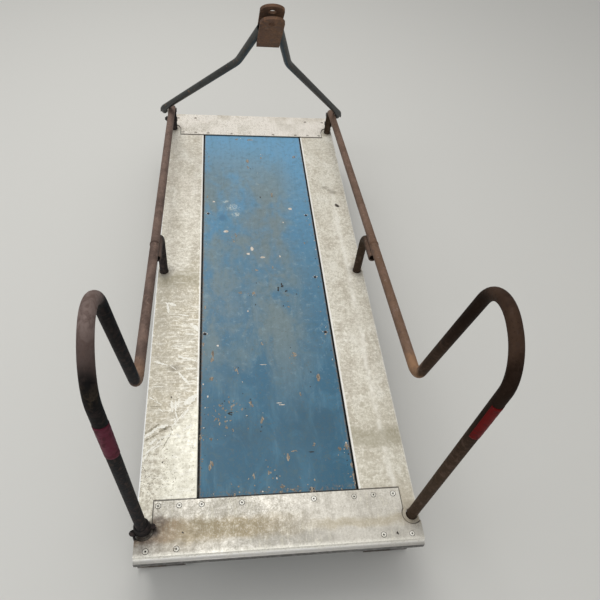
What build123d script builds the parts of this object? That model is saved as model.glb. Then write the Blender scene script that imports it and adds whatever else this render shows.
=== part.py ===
from build123d import *
import math
import os

# Snowmobile tow sled: an aluminium deck on a bent pipe frame, two steel skis,
# and a V drawbar that hinges on the two front rail bends.
# Millimetres. +X right, +Y forward (to the drawbar), +Z up, floor at z = 0.
# Lengths along the sled are taken from the deck's rear edge and moved by MID_Y.

# Deck
DECK_TOP = 190.0
DECK_HALF = 280.0
DECK_LENGTH = 1507.0
TIP_REACH = 97.2
MID_Y = (DECK_LENGTH + TIP_REACH) / 2

# Side planks, an open extrusion with three legs
PLANK_WIDE = 115.0
PLANK_INNER = DECK_HALF - PLANK_WIDE
PLANK_SKIN = 2.5
PLANK_DEPTH = 38.0
MID_LEG_INSET = 58.0
PLANK_MID_LEG = DECK_HALF - MID_LEG_INSET
PLANK_FOOT = 12.0
PLANK_LEDGE = 18.0
PLANK_EDGE_RADIUS = 1.8
POST_HOLE = 12.2

# Blue plywood panel, a little below the planks
PANEL_GAP = 4.0
PANEL_HALF = PLANK_INNER - PANEL_GAP
PANEL_THICK = 12.0
PANEL_DROP = 1.5
PANEL_INSET = 22.0
PANEL_REAR = PANEL_INSET
PANEL_FRONT = DECK_LENGTH - PANEL_INSET
PANEL_END_DROP = 0.6
PANEL_CHAMFER = 0.8

# End plates on top of planks and panel
PLATE_SKIN = 2.5
REAR_PLATE_FRONT = 113.8
REAR_TAB_INSET = 32.3
REAR_TAB_HALF = DECK_HALF - REAR_TAB_INSET
FRONT_PLATE_LONG = 124.6
FRONT_PLATE_REAR = DECK_LENGTH - FRONT_PLATE_LONG
FRONT_TAB_INSET = 39.1
FRONT_TAB_HALF = DECK_HALF - FRONT_TAB_INSET
FRONT_FOLD = 5.0
NOTCH_RADIUS = 21.0
NOSE_RADIUS = 9.0
NOSE_DROP = 21.0

# The planks stop just inside the plates' folds
FOLD_CLEARANCE = 0.5
PLANK_REAR = NOSE_RADIUS + FOLD_CLEARANCE
PLANK_FRONT = DECK_LENGTH - 2 * PLATE_SKIN - FOLD_CLEARANCE

# Frame pipe, half inch pipe
PIPE_R = 10.65
PIPE_BORE_R = 7.9

# Post feet: inset from the deck's side, and distance from its rear or front edge
REAR_POST_INSET = 15.2
REAR_POST_Y = 59.0
MIDDLE_POST_INSET = 17.6
MIDDLE_POST_Y = 742.7
FRONT_POST_INSET = 15.4
FRONT_POST_BACK = 89.8
REAR_POST = (DECK_HALF - REAR_POST_INSET, REAR_POST_Y)
MIDDLE_POST = (DECK_HALF - MIDDLE_POST_INSET, MIDDLE_POST_Y)
FRONT_POST = (DECK_HALF - FRONT_POST_INSET, DECK_LENGTH - FRONT_POST_BACK)

# Corners of the pipe that is post, rail, hoop and rear leg: inset, y, z over the deck
FRONT_BEND_Z = 87.0
REAR_BEND_INSET, REAR_BEND_Y, REAR_BEND_Z = 11.1, 252.1, 205.9
HOOP_FRONT_INSET, HOOP_FRONT_Y, HOOP_FRONT_Z = 0.2, 169.3, 588.5
HOOP_REAR_INSET, HOOP_REAR_Y, HOOP_REAR_Z = 7.6, 34.8, 550.9
FRONT_BEND = (FRONT_POST[0], FRONT_POST[1], FRONT_BEND_Z)
REAR_BEND = (DECK_HALF - REAR_BEND_INSET, REAR_BEND_Y, REAR_BEND_Z)
HOOP_FRONT = (DECK_HALF - HOOP_FRONT_INSET, HOOP_FRONT_Y, HOOP_FRONT_Z)
HOOP_REAR = (DECK_HALF - HOOP_REAR_INSET, HOOP_REAR_Y, HOOP_REAR_Z)
FRONT_BEND_R = 30.0
REAR_BEND_R = 42.0
HOOP_FRONT_R = 70.0
HOOP_REAR_R = 76.0
RAIL_WELD_Y = 673.0
MIDDLE_POST_END_Y = 646.5
MIDDLE_BEND_R = 38.0
MIDDLE_END_OUT = 0.4

# Runner under each side: ski sheet, spine tube on it and wear bar below it
SPINE_INSET = 18.0
SPINE_X = DECK_HALF - SPINE_INSET
FOOT_GAP = 0.55
SPINE_WIDE = 42.0
SPINE_HIGH = 30.0
SPINE_WALL = 2.0
SPINE_CORNER = 4.0
SPINE_REAR = 62.0
SPINE_FRONT_INSET = 61.0
SPINE_FRONT = DECK_LENGTH - SPINE_FRONT_INSET
SKI_INSET = 36.0
SKI_X = DECK_HALF - SKI_INSET
SKI_WIDE = 100.0
SKI_SKIN = 2.5
SKI_LIP = 12.0
SKI_REAR = 46.0
SKI_BEND_INSET = 57.0
SKI_BEND_Y = DECK_LENGTH - SKI_BEND_INSET
SKI_BEND_R = 220.0
SKI_TIP_ANGLE = 46.0
SKI_FRONT = 2 * MID_Y
SKI_TIP_ROUND = 38.0
WEAR_WIDE = 12.0
WEAR_HIGH = 9.0
WEAR_REAR = 110.0

# Cross members
BEARER = 30.0
BEARER_WALL = 2.0
BEARER_CORNER = 4.0
SPREADER = 25.0
SPREADER_REAR_Y = 215.0
SPREADER_FRONT_INSET = 222.0
SPREADER_YS = (SPREADER_REAR_Y, DECK_LENGTH - SPREADER_FRONT_INSET)

# Flat diagonal braces, from beside an end post down to the spine
BRACE_WIDE = 18.0
BRACE_SKIN = 5.0
BRACE_LIFT = 8.6
BRACE_HEAD_Z = -62.0
BRACE_HEAD_REAR_GAP = 17.0
BRACE_HEAD_FRONT_GAP = 14.4
BRACE_REAR_RUN = 231.0
BRACE_FRONT_RUN = 227.2

# Drawbar, drawn in its own plane: x across, s along from the pivot
PIVOT_BACK = 93.3
PIVOT_Y = DECK_LENGTH - PIVOT_BACK
PIVOT_Z = 72.0
FOLD_ANGLE = 134.3
ARM_R = 9.5
ARM_BORE_R = 7.3
ARM_OUTSET = 12.0
ARM_X = DECK_HALF + ARM_OUTSET
ARM_TAIL = 10.0
ARM_PLUG = 20.0
ARM_END_ROUND = 8.8
ARM_BEND_S = 20.9
ARM_WAIST_X, ARM_WAIST_S = 64.0, 490.0
ARM_END_X, ARM_END_S = 20.0, 705.0
ARM_BEND_R = 40.0
ARM_WAIST_R = 160.0
BOLT_R = 5.0
BOLT_PLAY = 0.05
BOLT_REACH = 40.0
PEEN_R = 7.5
PEEN_HIGH = 2.0
PEEN_ROUND = 1.8
NUT_R = 9.5
NUT_HIGH = 8.0
THREAD_END = 4.0
CLEVIS_WIDE = 52.0
CLEVIS_SKIN = 6.0
CLEVIS_OVERLAP = 69.0
CLEVIS_REACH = 85.0
CLEVIS_START = ARM_END_S - CLEVIS_OVERLAP
CLEVIS_END = ARM_END_S + CLEVIS_REACH
CLEVIS_PIN_S = CLEVIS_END - CLEVIS_WIDE / 2
CLEVIS_PIN_R = 8.5

# Pivot plate between the rail bend and the arm
LUG_SKIN = 5.0
LUG_INSET = 4.7
LUG_X = DECK_HALF - LUG_INSET
LUG_R = 14.0
LUG_LOW_R = 12.0
LUG_LOW_Z = 36.0
LUG_LOW = (FRONT_POST[1], LUG_LOW_Z)
WASHER_SKIN = 1.2
WASHER_R = 10.5

# Hairline gaps: between faces that lie together, round a pipe, and under a peened end
FACE_GAP = 0.02
PIPE_GAP = 0.05
PEEN_GAP = 0.1
WASHER_GAP = 0.3

# Weld bead round each rail
BEAD_HIGH = 1.1
BEAD_HALF = 2.6
BEAD_ROUND = 0.9

SIDES = (("left", -1), ("right", 1))

os.makedirs("parts", exist_ok=True)


def at(x, y, z):
    """A point given over the deck's rear edge and top, in the part's frame."""
    return (x, y - MID_Y, z + DECK_TOP)


def on_line(a, b, z):
    """The point of the line from a to b at height z."""
    t = (z - a[2]) / (b[2] - a[2])
    return tuple(a[i] + t * (b[i] - a[i]) for i in range(3))


def bent_line(points, radii):
    """Straight lines through the points with an arc of the given radius at each inner one."""
    start = Vector(*points[0])
    for corner, after, radius in zip(points[1:-1], points[2:], radii):
        corner = Vector(*corner)
        back = (start - corner).normalized()
        ahead = (Vector(*after) - corner).normalized()
        half = math.acos(back.dot(ahead)) / 2
        middle = (back + ahead).normalized()
        cut_in = corner + back * (radius / math.tan(half))
        cut_out = corner + ahead * (radius / math.tan(half))
        crown = corner + middle * (radius / math.sin(half) - radius)
        Line(start, cut_in)
        ThreePointArc(cut_in, crown, cut_out)
        start = cut_out
    Line(start, Vector(*points[-1]))


def rail_point(y):
    """A point of the straight rail, right side, over the deck."""
    t = (y - FRONT_BEND[1]) / (REAR_BEND[1] - FRONT_BEND[1])
    return tuple(FRONT_BEND[i] + t * (REAR_BEND[i] - FRONT_BEND[i]) for i in range(3))


def runner_band(rear, low, high, tip_angle):
    """Side view of a band that follows the ski, between two heights over its underside."""
    tip = math.radians(tip_angle)
    centre_y = SKI_BEND_Y - MID_Y
    centre_z = WEAR_HIGH + SKI_BEND_R
    ends = []
    for height in (low, high):
        radius = SKI_BEND_R - height
        ends.append(
            [
                (rear - MID_Y, WEAR_HIGH + height),
                (centre_y, WEAR_HIGH + height),
                (centre_y + radius * math.sin(tip / 2), centre_z - radius * math.cos(tip / 2)),
                (centre_y + radius * math.sin(tip), centre_z - radius * math.cos(tip)),
            ]
        )
    for rear_end, bend, crown, tip_end in ends:
        Line(rear_end, bend)
        ThreePointArc(bend, crown, tip_end)
    Line(ends[0][0], ends[1][0])
    Line(ends[0][3], ends[1][3])


SPINE_TOP = WEAR_HIGH + SKI_SKIN + SPINE_HIGH - DECK_TOP
FOOT_Z = SPINE_TOP + FOOT_GAP

# Side planks: the skin that is trodden on, and the three ribs under it, one of them with the panel's ledge
post_holes = [(x, y - MID_Y) for x, y in (REAR_POST, MIDDLE_POST, FRONT_POST)]
for side, sign in SIDES:
    with BuildPart() as plank:
        with BuildSketch(Plane.XZ.offset(MID_Y - PLANK_REAR)):
            with Locations((sign * (PLANK_INNER + DECK_HALF) / 2, DECK_TOP - PLANK_SKIN / 2)):
                Rectangle(DECK_HALF - PLANK_INNER, PLANK_SKIN)
        extrude(amount=-(PLANK_FRONT - PLANK_REAR))
        top_edges = plank.edges().filter_by(Axis.Y).group_by(Axis.Z)[-1].sort_by(Axis.X)
        fillet((top_edges[0], top_edges[-1]), PLANK_EDGE_RADIUS)
        with BuildSketch(Plane.XY.offset(DECK_TOP + 1)):
            with Locations(*[(sign * x, y) for x, y in post_holes]):
                Circle(POST_HOLE)
        extrude(amount=-PLANK_SKIN - 2, mode=Mode.SUBTRACT)
    plank.part.label = "deck_plank_" + side
    export_step(plank.part, "parts/deck_plank_" + side + ".step")

    with BuildPart() as ribs:
        with BuildSketch(Plane.XZ.offset(MID_Y - PLANK_REAR)):
            rib_high = PLANK_DEPTH - PLANK_SKIN - FACE_GAP
            rib_z = DECK_TOP - PLANK_DEPTH + rib_high / 2
            for rib_x in (PLANK_INNER + PLANK_SKIN / 2, PLANK_MID_LEG, DECK_HALF - PLANK_SKIN / 2):
                with Locations((sign * rib_x, rib_z)):
                    Rectangle(PLANK_SKIN, rib_high)
            foot_z = DECK_TOP - PLANK_DEPTH + PLANK_SKIN / 2
            for foot_x in (PLANK_INNER + PLANK_FOOT / 2, PLANK_MID_LEG, DECK_HALF - PLANK_FOOT / 2):
                with Locations((sign * foot_x, foot_z)):
                    Rectangle(PLANK_FOOT, PLANK_SKIN)
            ledge_z = DECK_TOP - PANEL_DROP - PANEL_THICK - PLANK_SKIN / 2
            with Locations((sign * (PLANK_INNER - PLANK_LEDGE / 2 + 1), ledge_z)):
                Rectangle(PLANK_LEDGE + 2, PLANK_SKIN)
        extrude(amount=-(PLANK_FRONT - PLANK_REAR))
        with BuildSketch(Plane.XY.offset(DECK_TOP)):
            with Locations(*[(sign * x, y) for x, y in post_holes]):
                Circle(POST_HOLE)
        extrude(amount=-PLANK_DEPTH - 2, mode=Mode.SUBTRACT)
    ribs.part.label = "plank_ribs_" + side
    export_step(ribs.part, "parts/plank_ribs_" + side + ".step")

# Panel
with BuildPart() as panel:
    with BuildSketch(Plane.XY.offset(DECK_TOP - PANEL_DROP - PANEL_THICK)):
        with Locations((0, (PANEL_REAR + PANEL_FRONT) / 2 - MID_Y)):
            Rectangle(2 * PANEL_HALF, PANEL_FRONT - PANEL_REAR)
    extrude(amount=PANEL_THICK)
    chamfer(panel.faces().sort_by(Axis.Z)[-1].edges(), PANEL_CHAMFER)
    # The ends lie a little lower, under the end plates
    with BuildSketch(Plane.XY.offset(DECK_TOP - PANEL_DROP)):
        for end_rear, end_front in ((PANEL_REAR, REAR_PLATE_FRONT), (FRONT_PLATE_REAR, PANEL_FRONT)):
            with Locations((0, (end_rear + end_front) / 2 - MID_Y)):
                Rectangle(2 * PANEL_HALF, end_front - end_rear)
    extrude(amount=-PANEL_END_DROP, mode=Mode.SUBTRACT)
panel.part.label = "deck_panel"
export_step(panel.part, "parts/deck_panel.step")

# Rear plate: flat over the deck, rolled down over its rear edge
with BuildPart() as rear_plate:
    with BuildSketch(Plane.YZ.offset(-DECK_HALF)) as section:
        with BuildLine():
            top = DECK_TOP + PLATE_SKIN
            rear = -MID_Y
            front = REAR_PLATE_FRONT - MID_Y
            low = DECK_TOP - NOSE_DROP
            inner_r = NOSE_RADIUS - PLATE_SKIN
            Line((front, top), (rear + NOSE_RADIUS, top))
            RadiusArc((rear + NOSE_RADIUS, top), (rear, top - NOSE_RADIUS), NOSE_RADIUS, short_sagitta=True)
            Line((rear, top - NOSE_RADIUS), (rear, low))
            Line((rear, low), (rear + PLATE_SKIN, low))
            Line((rear + PLATE_SKIN, low), (rear + PLATE_SKIN, top - NOSE_RADIUS))
            inner_low = (rear + PLATE_SKIN, top - NOSE_RADIUS)
            RadiusArc(inner_low, (rear + NOSE_RADIUS, DECK_TOP), -inner_r, short_sagitta=True)
            Line((rear + NOSE_RADIUS, DECK_TOP), (front, DECK_TOP))
            Line((front, DECK_TOP), (front, top))
        make_face()
    extrude(amount=2 * DECK_HALF)
    with BuildSketch(Plane.XY.offset(DECK_TOP - NOSE_DROP - 1)) as outline:
        with Locations((0, REAR_POST[1] / 2 - MID_Y)):
            Rectangle(2 * DECK_HALF, REAR_POST[1])
        with Locations((0, REAR_PLATE_FRONT / 2 - MID_Y)):
            Rectangle(2 * REAR_TAB_HALF, REAR_PLATE_FRONT)
        with Locations((REAR_POST[0], REAR_POST[1] - MID_Y), (-REAR_POST[0], REAR_POST[1] - MID_Y)):
            Circle(NOTCH_RADIUS, mode=Mode.SUBTRACT)
    extrude(amount=NOSE_DROP + PLATE_SKIN + 2, mode=Mode.INTERSECT)
rear_plate.part.label = "rear_plate"
export_step(rear_plate.part, "parts/rear_plate.step")

# Front plate: flat over the deck, folded down over its front edge
with BuildPart() as front_plate:
    with BuildSketch(Plane.YZ.offset(-DECK_HALF)) as section:
        with BuildLine():
            top = DECK_TOP + PLATE_SKIN
            front = DECK_LENGTH - MID_Y
            rear = FRONT_PLATE_REAR - MID_Y
            low = DECK_TOP - NOSE_DROP
            fold = FRONT_FOLD
            Line((rear, top), (front - fold, top))
            RadiusArc((front - fold, top), (front, top - fold), -fold, short_sagitta=True)
            Line((front, top - fold), (front, low))
            Line((front, low), (front - PLATE_SKIN, low))
            Line((front - PLATE_SKIN, low), (front - PLATE_SKIN, DECK_TOP - PLATE_SKIN))
            Line((front - PLATE_SKIN, DECK_TOP - PLATE_SKIN), (front - 2 * PLATE_SKIN, DECK_TOP))
            Line((front - 2 * PLATE_SKIN, DECK_TOP), (rear, DECK_TOP))
            Line((rear, DECK_TOP), (rear, top))
        make_face()
    extrude(amount=2 * DECK_HALF)
    with BuildSketch(Plane.XY.offset(DECK_TOP - NOSE_DROP - 1)) as outline:
        wide_length = DECK_LENGTH - FRONT_POST[1]
        with Locations((0, DECK_LENGTH - wide_length / 2 - MID_Y)):
            Rectangle(2 * DECK_HALF, wide_length)
        with Locations((0, (FRONT_PLATE_REAR + DECK_LENGTH) / 2 - MID_Y)):
            Rectangle(2 * FRONT_TAB_HALF, DECK_LENGTH - FRONT_PLATE_REAR)
        with Locations((FRONT_POST[0], FRONT_POST[1] - MID_Y), (-FRONT_POST[0], FRONT_POST[1] - MID_Y)):
            Circle(NOTCH_RADIUS, mode=Mode.SUBTRACT)
    extrude(amount=NOSE_DROP + PLATE_SKIN + 2, mode=Mode.INTERSECT)
front_plate.part.label = "front_plate"
export_step(front_plate.part, "parts/front_plate.step")

# Bent pipes of the frame
rail_weld = rail_point(RAIL_WELD_Y)
front_foot = (FRONT_POST[0], FRONT_POST[1], FOOT_Z)
rear_foot = on_line((REAR_POST[0], REAR_POST[1], 0.0), HOOP_REAR, FOOT_Z)
middle_foot = (MIDDLE_POST[0], MIDDLE_POST[1], FOOT_Z)
rail_slope = (REAR_BEND[2] - FRONT_BEND[2]) / (FRONT_BEND[1] - REAR_BEND[1])
middle_drop = 2 * PIPE_R * math.sqrt(1 + rail_slope**2) + 2 * PIPE_GAP
middle_top = rail_point(MIDDLE_POST[1])[2] - middle_drop
middle_end = rail_point(MIDDLE_POST_END_Y)[2] - middle_drop
PIPES = (
    # name, points over the deck, bend radii
    ("front_rail", (front_foot, FRONT_BEND, rail_weld), (FRONT_BEND_R,)),
    (
        "hoop",
        (rail_weld, REAR_BEND, HOOP_FRONT, HOOP_REAR, rear_foot),
        (REAR_BEND_R, HOOP_FRONT_R, HOOP_REAR_R),
    ),
    (
        "middle_post",
        (
            middle_foot,
            (MIDDLE_POST[0], MIDDLE_POST[1], middle_top),
            (MIDDLE_POST[0] + MIDDLE_END_OUT, MIDDLE_POST_END_Y, middle_end),
        ),
        (MIDDLE_BEND_R,),
    ),
)
for name, points, radii in PIPES:
    for side, sign in SIDES:
        with BuildPart() as pipe:
            with BuildLine() as path:
                bent_line([at(sign * x, y, z) for x, y, z in points], radii)
            start = path.line @ 0
            heading = path.line % 0
            with BuildSketch(Plane(origin=start, z_dir=heading)):
                Circle(PIPE_R)
                Circle(PIPE_BORE_R, mode=Mode.SUBTRACT)
            sweep(path=path.line)
            if name == "front_rail":
                for hole_y, hole_z in ((PIVOT_Y, PIVOT_Z), LUG_LOW):
                    with Locations(Plane(origin=at(sign * FRONT_BEND[0], hole_y, hole_z), z_dir=(1, 0, 0))):
                        Cylinder(BOLT_R + BOLT_PLAY, 2 * BOLT_REACH, mode=Mode.SUBTRACT)
        pipe.part.label = name + "_" + side
        export_step(pipe.part, "parts/" + name + "_" + side + ".step")

# Weld beads where the two rail pipes meet
for side, sign in SIDES:
    rail_rear = Vector(*at(sign * REAR_BEND[0], *REAR_BEND[1:]))
    heading = rail_rear - Vector(*at(sign * FRONT_BEND[0], *FRONT_BEND[1:]))
    with BuildPart() as bead:
        with BuildSketch(Plane(origin=at(sign * rail_weld[0], *rail_weld[1:]), z_dir=heading)):
            Circle(PIPE_R + BEAD_HIGH)
            Circle(PIPE_R + FACE_GAP, mode=Mode.SUBTRACT)
        extrude(amount=BEAD_HALF, both=True)
        fillet(bead.faces().filter_by(GeomType.CYLINDER).sort_by(SortBy.AREA)[-1].edges(), BEAD_ROUND)
        below = (sign * (MIDDLE_POST[0] + MIDDLE_END_OUT), RAIL_WELD_Y, rail_weld[2] - middle_drop)
        with Locations(Plane(origin=at(*below), z_dir=heading)):
            Cylinder(PIPE_R + PIPE_GAP, 8 * BEAD_HALF, mode=Mode.SUBTRACT)
    bead.part.label = "rail_weld_" + side
    export_step(bead.part, "parts/rail_weld_" + side + ".step")

# Runners: spine tube, ski sheet with upturned tip, wear bar
for side, sign in SIDES:
    with BuildPart() as spine:
        with BuildSketch(Plane.XZ.offset(MID_Y - SPINE_REAR)):
            with Locations((sign * SPINE_X, WEAR_HIGH + SKI_SKIN + SPINE_HIGH / 2)):
                RectangleRounded(SPINE_WIDE, SPINE_HIGH, SPINE_CORNER)
                RectangleRounded(
                    SPINE_WIDE - 2 * SPINE_WALL,
                    SPINE_HIGH - 2 * SPINE_WALL,
                    SPINE_CORNER - SPINE_WALL,
                    mode=Mode.SUBTRACT,
                )
        extrude(amount=-(SPINE_FRONT - SPINE_REAR))
    spine.part.label = "ski_spine_" + side
    export_step(spine.part, "parts/ski_spine_" + side + ".step")

    # The ski is a folded channel: a band with the ski's full width, less its hollow
    with BuildPart() as ski:
        with BuildSketch(Plane.YZ.offset(sign * SKI_X - SKI_WIDE / 2)):
            with BuildLine():
                runner_band(SKI_REAR, 0, SKI_LIP, SKI_TIP_ANGLE)
            make_face()
        extrude(amount=SKI_WIDE)
        with BuildSketch(Plane.YZ.offset(sign * SKI_X - SKI_WIDE / 2 + SKI_SKIN)):
            with BuildLine():
                runner_band(SKI_REAR - 1, SKI_SKIN, SKI_LIP + 1, SKI_TIP_ANGLE + 1)
            make_face()
        extrude(amount=SKI_WIDE - 2 * SKI_SKIN, mode=Mode.SUBTRACT)
        with BuildSketch(Plane.XY) as outline:
            with Locations((sign * SKI_X, (SKI_REAR + SKI_FRONT) / 2 - MID_Y)):
                Rectangle(SKI_WIDE, SKI_FRONT - SKI_REAR)
            fillet(outline.vertices().group_by(Axis.Y)[-1], SKI_TIP_ROUND)
        extrude(amount=DECK_TOP, mode=Mode.INTERSECT)
    ski.part.label = "ski_" + side
    export_step(ski.part, "parts/ski_" + side + ".step")

    with BuildPart() as wear:
        with BuildSketch(Plane.YZ.offset(sign * SKI_X - WEAR_WIDE / 2)):
            with BuildLine():
                runner_band(WEAR_REAR, -WEAR_HIGH, -FACE_GAP, SKI_TIP_ANGLE * 2 / 3)
            make_face()
        extrude(amount=WEAR_WIDE)
    wear.part.label = "wear_bar_" + side
    export_step(wear.part, "parts/wear_bar_" + side + ".step")

# Square tube bearers under the deck, one at each pair of posts
bearer_z = -PLANK_DEPTH - BEARER / 2
for name, foot, head in (
    ("rear", rear_foot, HOOP_REAR),
    ("middle", middle_foot, (MIDDLE_POST[0], MIDDLE_POST[1], 0.0)),
    ("front", front_foot, FRONT_BEND),
):
    centre = on_line(foot, head, bearer_z - BEARER / 2)
    half_span = min(centre[0], on_line(foot, head, bearer_z + BEARER / 2)[0]) - PIPE_R - PIPE_GAP
    with BuildPart() as bearer:
        with BuildSketch(Plane.YZ.offset(-half_span)):
            with Locations((centre[1] - MID_Y, DECK_TOP + bearer_z)):
                RectangleRounded(BEARER, BEARER, BEARER_CORNER)
                bore = BEARER - 2 * BEARER_WALL
                RectangleRounded(bore, bore, BEARER_CORNER - BEARER_WALL, mode=Mode.SUBTRACT)
        extrude(amount=2 * half_span)
    bearer.part.label = "bearer_" + name
    export_step(bearer.part, "parts/bearer_" + name + ".step")

# Spreaders that keep the two runners apart
spreader_half = SPINE_X - SPINE_WIDE / 2
for name, spreader_y in zip(("rear", "front"), SPREADER_YS):
    with BuildPart() as spreader:
        with BuildSketch(Plane.YZ.offset(-spreader_half)):
            with Locations((spreader_y - MID_Y, WEAR_HIGH + SKI_SKIN + SKI_LIP + SPREADER / 2)):
                RectangleRounded(SPREADER, SPREADER, BEARER_CORNER)
                bore = SPREADER - 2 * BEARER_WALL
                RectangleRounded(bore, bore, BEARER_CORNER - BEARER_WALL, mode=Mode.SUBTRACT)
        extrude(amount=2 * spreader_half)
    spreader.part.label = "spreader_" + name
    export_step(spreader.part, "parts/spreader_" + name + ".step")

# Flat diagonal braces from the bearer level of the end posts to the spines
BRACES = (
    # name, y of the foot on the spine, y of the head beside the post
    ("front", FRONT_POST[1] - BRACE_FRONT_RUN, FRONT_POST[1] - BRACE_HEAD_FRONT_GAP),
    ("rear", REAR_POST[1] + BRACE_REAR_RUN, REAR_POST[1] + BRACE_HEAD_REAR_GAP),
)
for name, foot_y, head_y in BRACES:
    foot = (foot_y, SPINE_TOP + BRACE_LIFT)
    head = (head_y, BRACE_HEAD_Z)
    run = Vector(0, head[0] - foot[0], head[1] - foot[1])
    for side, sign in SIDES:
        middle = at(sign * SPINE_X, (foot[0] + head[0]) / 2, (foot[1] + head[1]) / 2)
        with BuildPart() as brace:
            with BuildSketch(Plane(origin=middle, x_dir=run.normalized(), z_dir=(1, 0, 0))):
                Rectangle(run.length, BRACE_WIDE)
            extrude(amount=BRACE_SKIN / 2, both=True)
        brace.part.label = "brace_" + name + "_" + side
        export_step(brace.part, "parts/brace_" + name + "_" + side + ".step")

# Pivot plate on each rail bend, with the pivot bolt and the plate's own bolt
for side, sign in SIDES:
    face = Plane(origin=at(sign * LUG_X, 0, 0), x_dir=(0, 1, 0), z_dir=(1, 0, 0))
    with BuildPart() as lug:
        with BuildSketch(face):
            with Locations((PIVOT_Y, PIVOT_Z)):
                Circle(LUG_R)
            with Locations(LUG_LOW):
                Circle(LUG_LOW_R)
            make_hull()
            with Locations((PIVOT_Y, PIVOT_Z), LUG_LOW):
                Circle(BOLT_R + BOLT_PLAY, mode=Mode.SUBTRACT)
        extrude(amount=sign * LUG_SKIN)
    lug.part.label = "pivot_plate_" + side
    export_step(lug.part, "parts/pivot_plate_" + side + ".step")

    # Both are peened over the pipe's inner side; outside, one is peened and one has a nut
    BOLTS = (
        # name, y, z, outer end of the grip, what is on it
        ("pivot_bolt", PIVOT_Y, PIVOT_Z, ARM_X + ARM_R + WASHER_GAP, "dome"),
        ("plate_bolt", LUG_LOW[0], LUG_LOW[1], LUG_X + LUG_SKIN + FACE_GAP, "nut"),
    )
    for name, bolt_y, bolt_z, grip_x, outside in BOLTS:
        inner_x = FRONT_BEND[0] - PIPE_R - PEEN_GAP
        inner_end = Plane(origin=at(sign * inner_x, bolt_y, bolt_z), z_dir=(-sign, 0, 0))
        outer_end = Plane(origin=at(sign * grip_x, bolt_y, bolt_z), z_dir=(sign, 0, 0))
        with BuildPart() as bolt:
            with BuildSketch(outer_end):
                Circle(BOLT_R)
            extrude(amount=inner_x - grip_x)
            for end in (inner_end, outer_end):
                if end == outer_end and outside == "nut":
                    with BuildSketch(end):
                        RegularPolygon(NUT_R, 6)
                    extrude(amount=NUT_HIGH)
                    with BuildSketch(end.offset(NUT_HIGH)):
                        Circle(BOLT_R)
                    extrude(amount=THREAD_END)
                else:
                    with BuildSketch(end):
                        Circle(PEEN_R)
                    extrude(amount=PEEN_HIGH)
                    outward = Axis(end.origin, end.z_dir)
                    fillet(bolt.faces().sort_by(outward)[-1].edges(), PEEN_ROUND)
        bolt.part.label = name + "_" + side
        export_step(bolt.part, "parts/" + name + "_" + side + ".step")

    washer_face = at(sign * (LUG_X + LUG_SKIN + FACE_GAP), PIVOT_Y, PIVOT_Z)
    with BuildPart() as washer:
        with BuildSketch(Plane(origin=washer_face, z_dir=(sign, 0, 0))):
            Circle(WASHER_R)
            Circle(BOLT_R + BOLT_PLAY, mode=Mode.SUBTRACT)
        extrude(amount=WASHER_SKIN)
    washer.part.label = "pivot_washer_" + side
    export_step(washer.part, "parts/pivot_washer_" + side + ".step")

# Drawbar: two bent arms and a two-plate clevis, drawn in the plane it lies in
fold = math.radians(FOLD_ANGLE)
ALONG = Vector(0, math.cos(fold), math.sin(fold))
ACROSS = Vector(1, 0, 0)
NORMAL = ACROSS.cross(ALONG)
PIVOT = Vector(*at(0, PIVOT_Y, PIVOT_Z))
for side, sign in SIDES:
    with BuildPart() as arm:
        corners = ((ARM_X, ARM_BEND_S), (ARM_WAIST_X, ARM_WAIST_S), (ARM_END_X, ARM_END_S))
        tail = (ARM_X, -ARM_TAIL - ARM_R)
        bore_start = (ARM_X, ARM_PLUG - ARM_TAIL)
        for first, radius, mode in ((tail, ARM_R, Mode.ADD), (bore_start, ARM_BORE_R, Mode.SUBTRACT)):
            with BuildLine() as path:
                points = [tuple(PIVOT + ACROSS * (sign * x) + ALONG * s) for x, s in (first, *corners)]
                bent_line(points, (ARM_BEND_R, ARM_WAIST_R))
            with BuildSketch(Plane(origin=path.line @ 0, z_dir=path.line % 0)):
                Circle(radius)
            sweep(path=path.line, mode=mode)
            if mode == Mode.ADD:
                fillet(arm.faces().filter_by(GeomType.PLANE).sort_by(Axis.Y)[-1].edges(), ARM_END_ROUND)
        with Locations(Plane(origin=tuple(PIVOT + ACROSS * (sign * ARM_X)), z_dir=(1, 0, 0))):
            Cylinder(BOLT_R + BOLT_PLAY, BOLT_REACH, mode=Mode.SUBTRACT)
    arm.part.label = "drawbar_arm_" + side
    export_step(arm.part, "parts/drawbar_arm_" + side + ".step")

for name, offset in (("upper", ARM_R + PIPE_GAP), ("lower", -ARM_R - PIPE_GAP - CLEVIS_SKIN)):
    with BuildPart() as clevis:
        with BuildSketch(Plane(origin=PIVOT + NORMAL * offset, x_dir=ACROSS, z_dir=NORMAL)):
            with Locations((0, (CLEVIS_START + CLEVIS_END - CLEVIS_WIDE / 2) / 2)):
                Rectangle(CLEVIS_WIDE, CLEVIS_END - CLEVIS_WIDE / 2 - CLEVIS_START)
            with Locations((0, CLEVIS_END - CLEVIS_WIDE / 2)):
                Circle(CLEVIS_WIDE / 2)
            with Locations((0, CLEVIS_PIN_S)):
                Circle(CLEVIS_PIN_R, mode=Mode.SUBTRACT)
        extrude(amount=CLEVIS_SKIN)
    clevis.part.label = "clevis_" + name
    export_step(clevis.part, "parts/clevis_" + name + ".step")
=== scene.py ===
import math
import random

import bmesh
import bpy
from mathutils import Matrix, Vector


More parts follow.
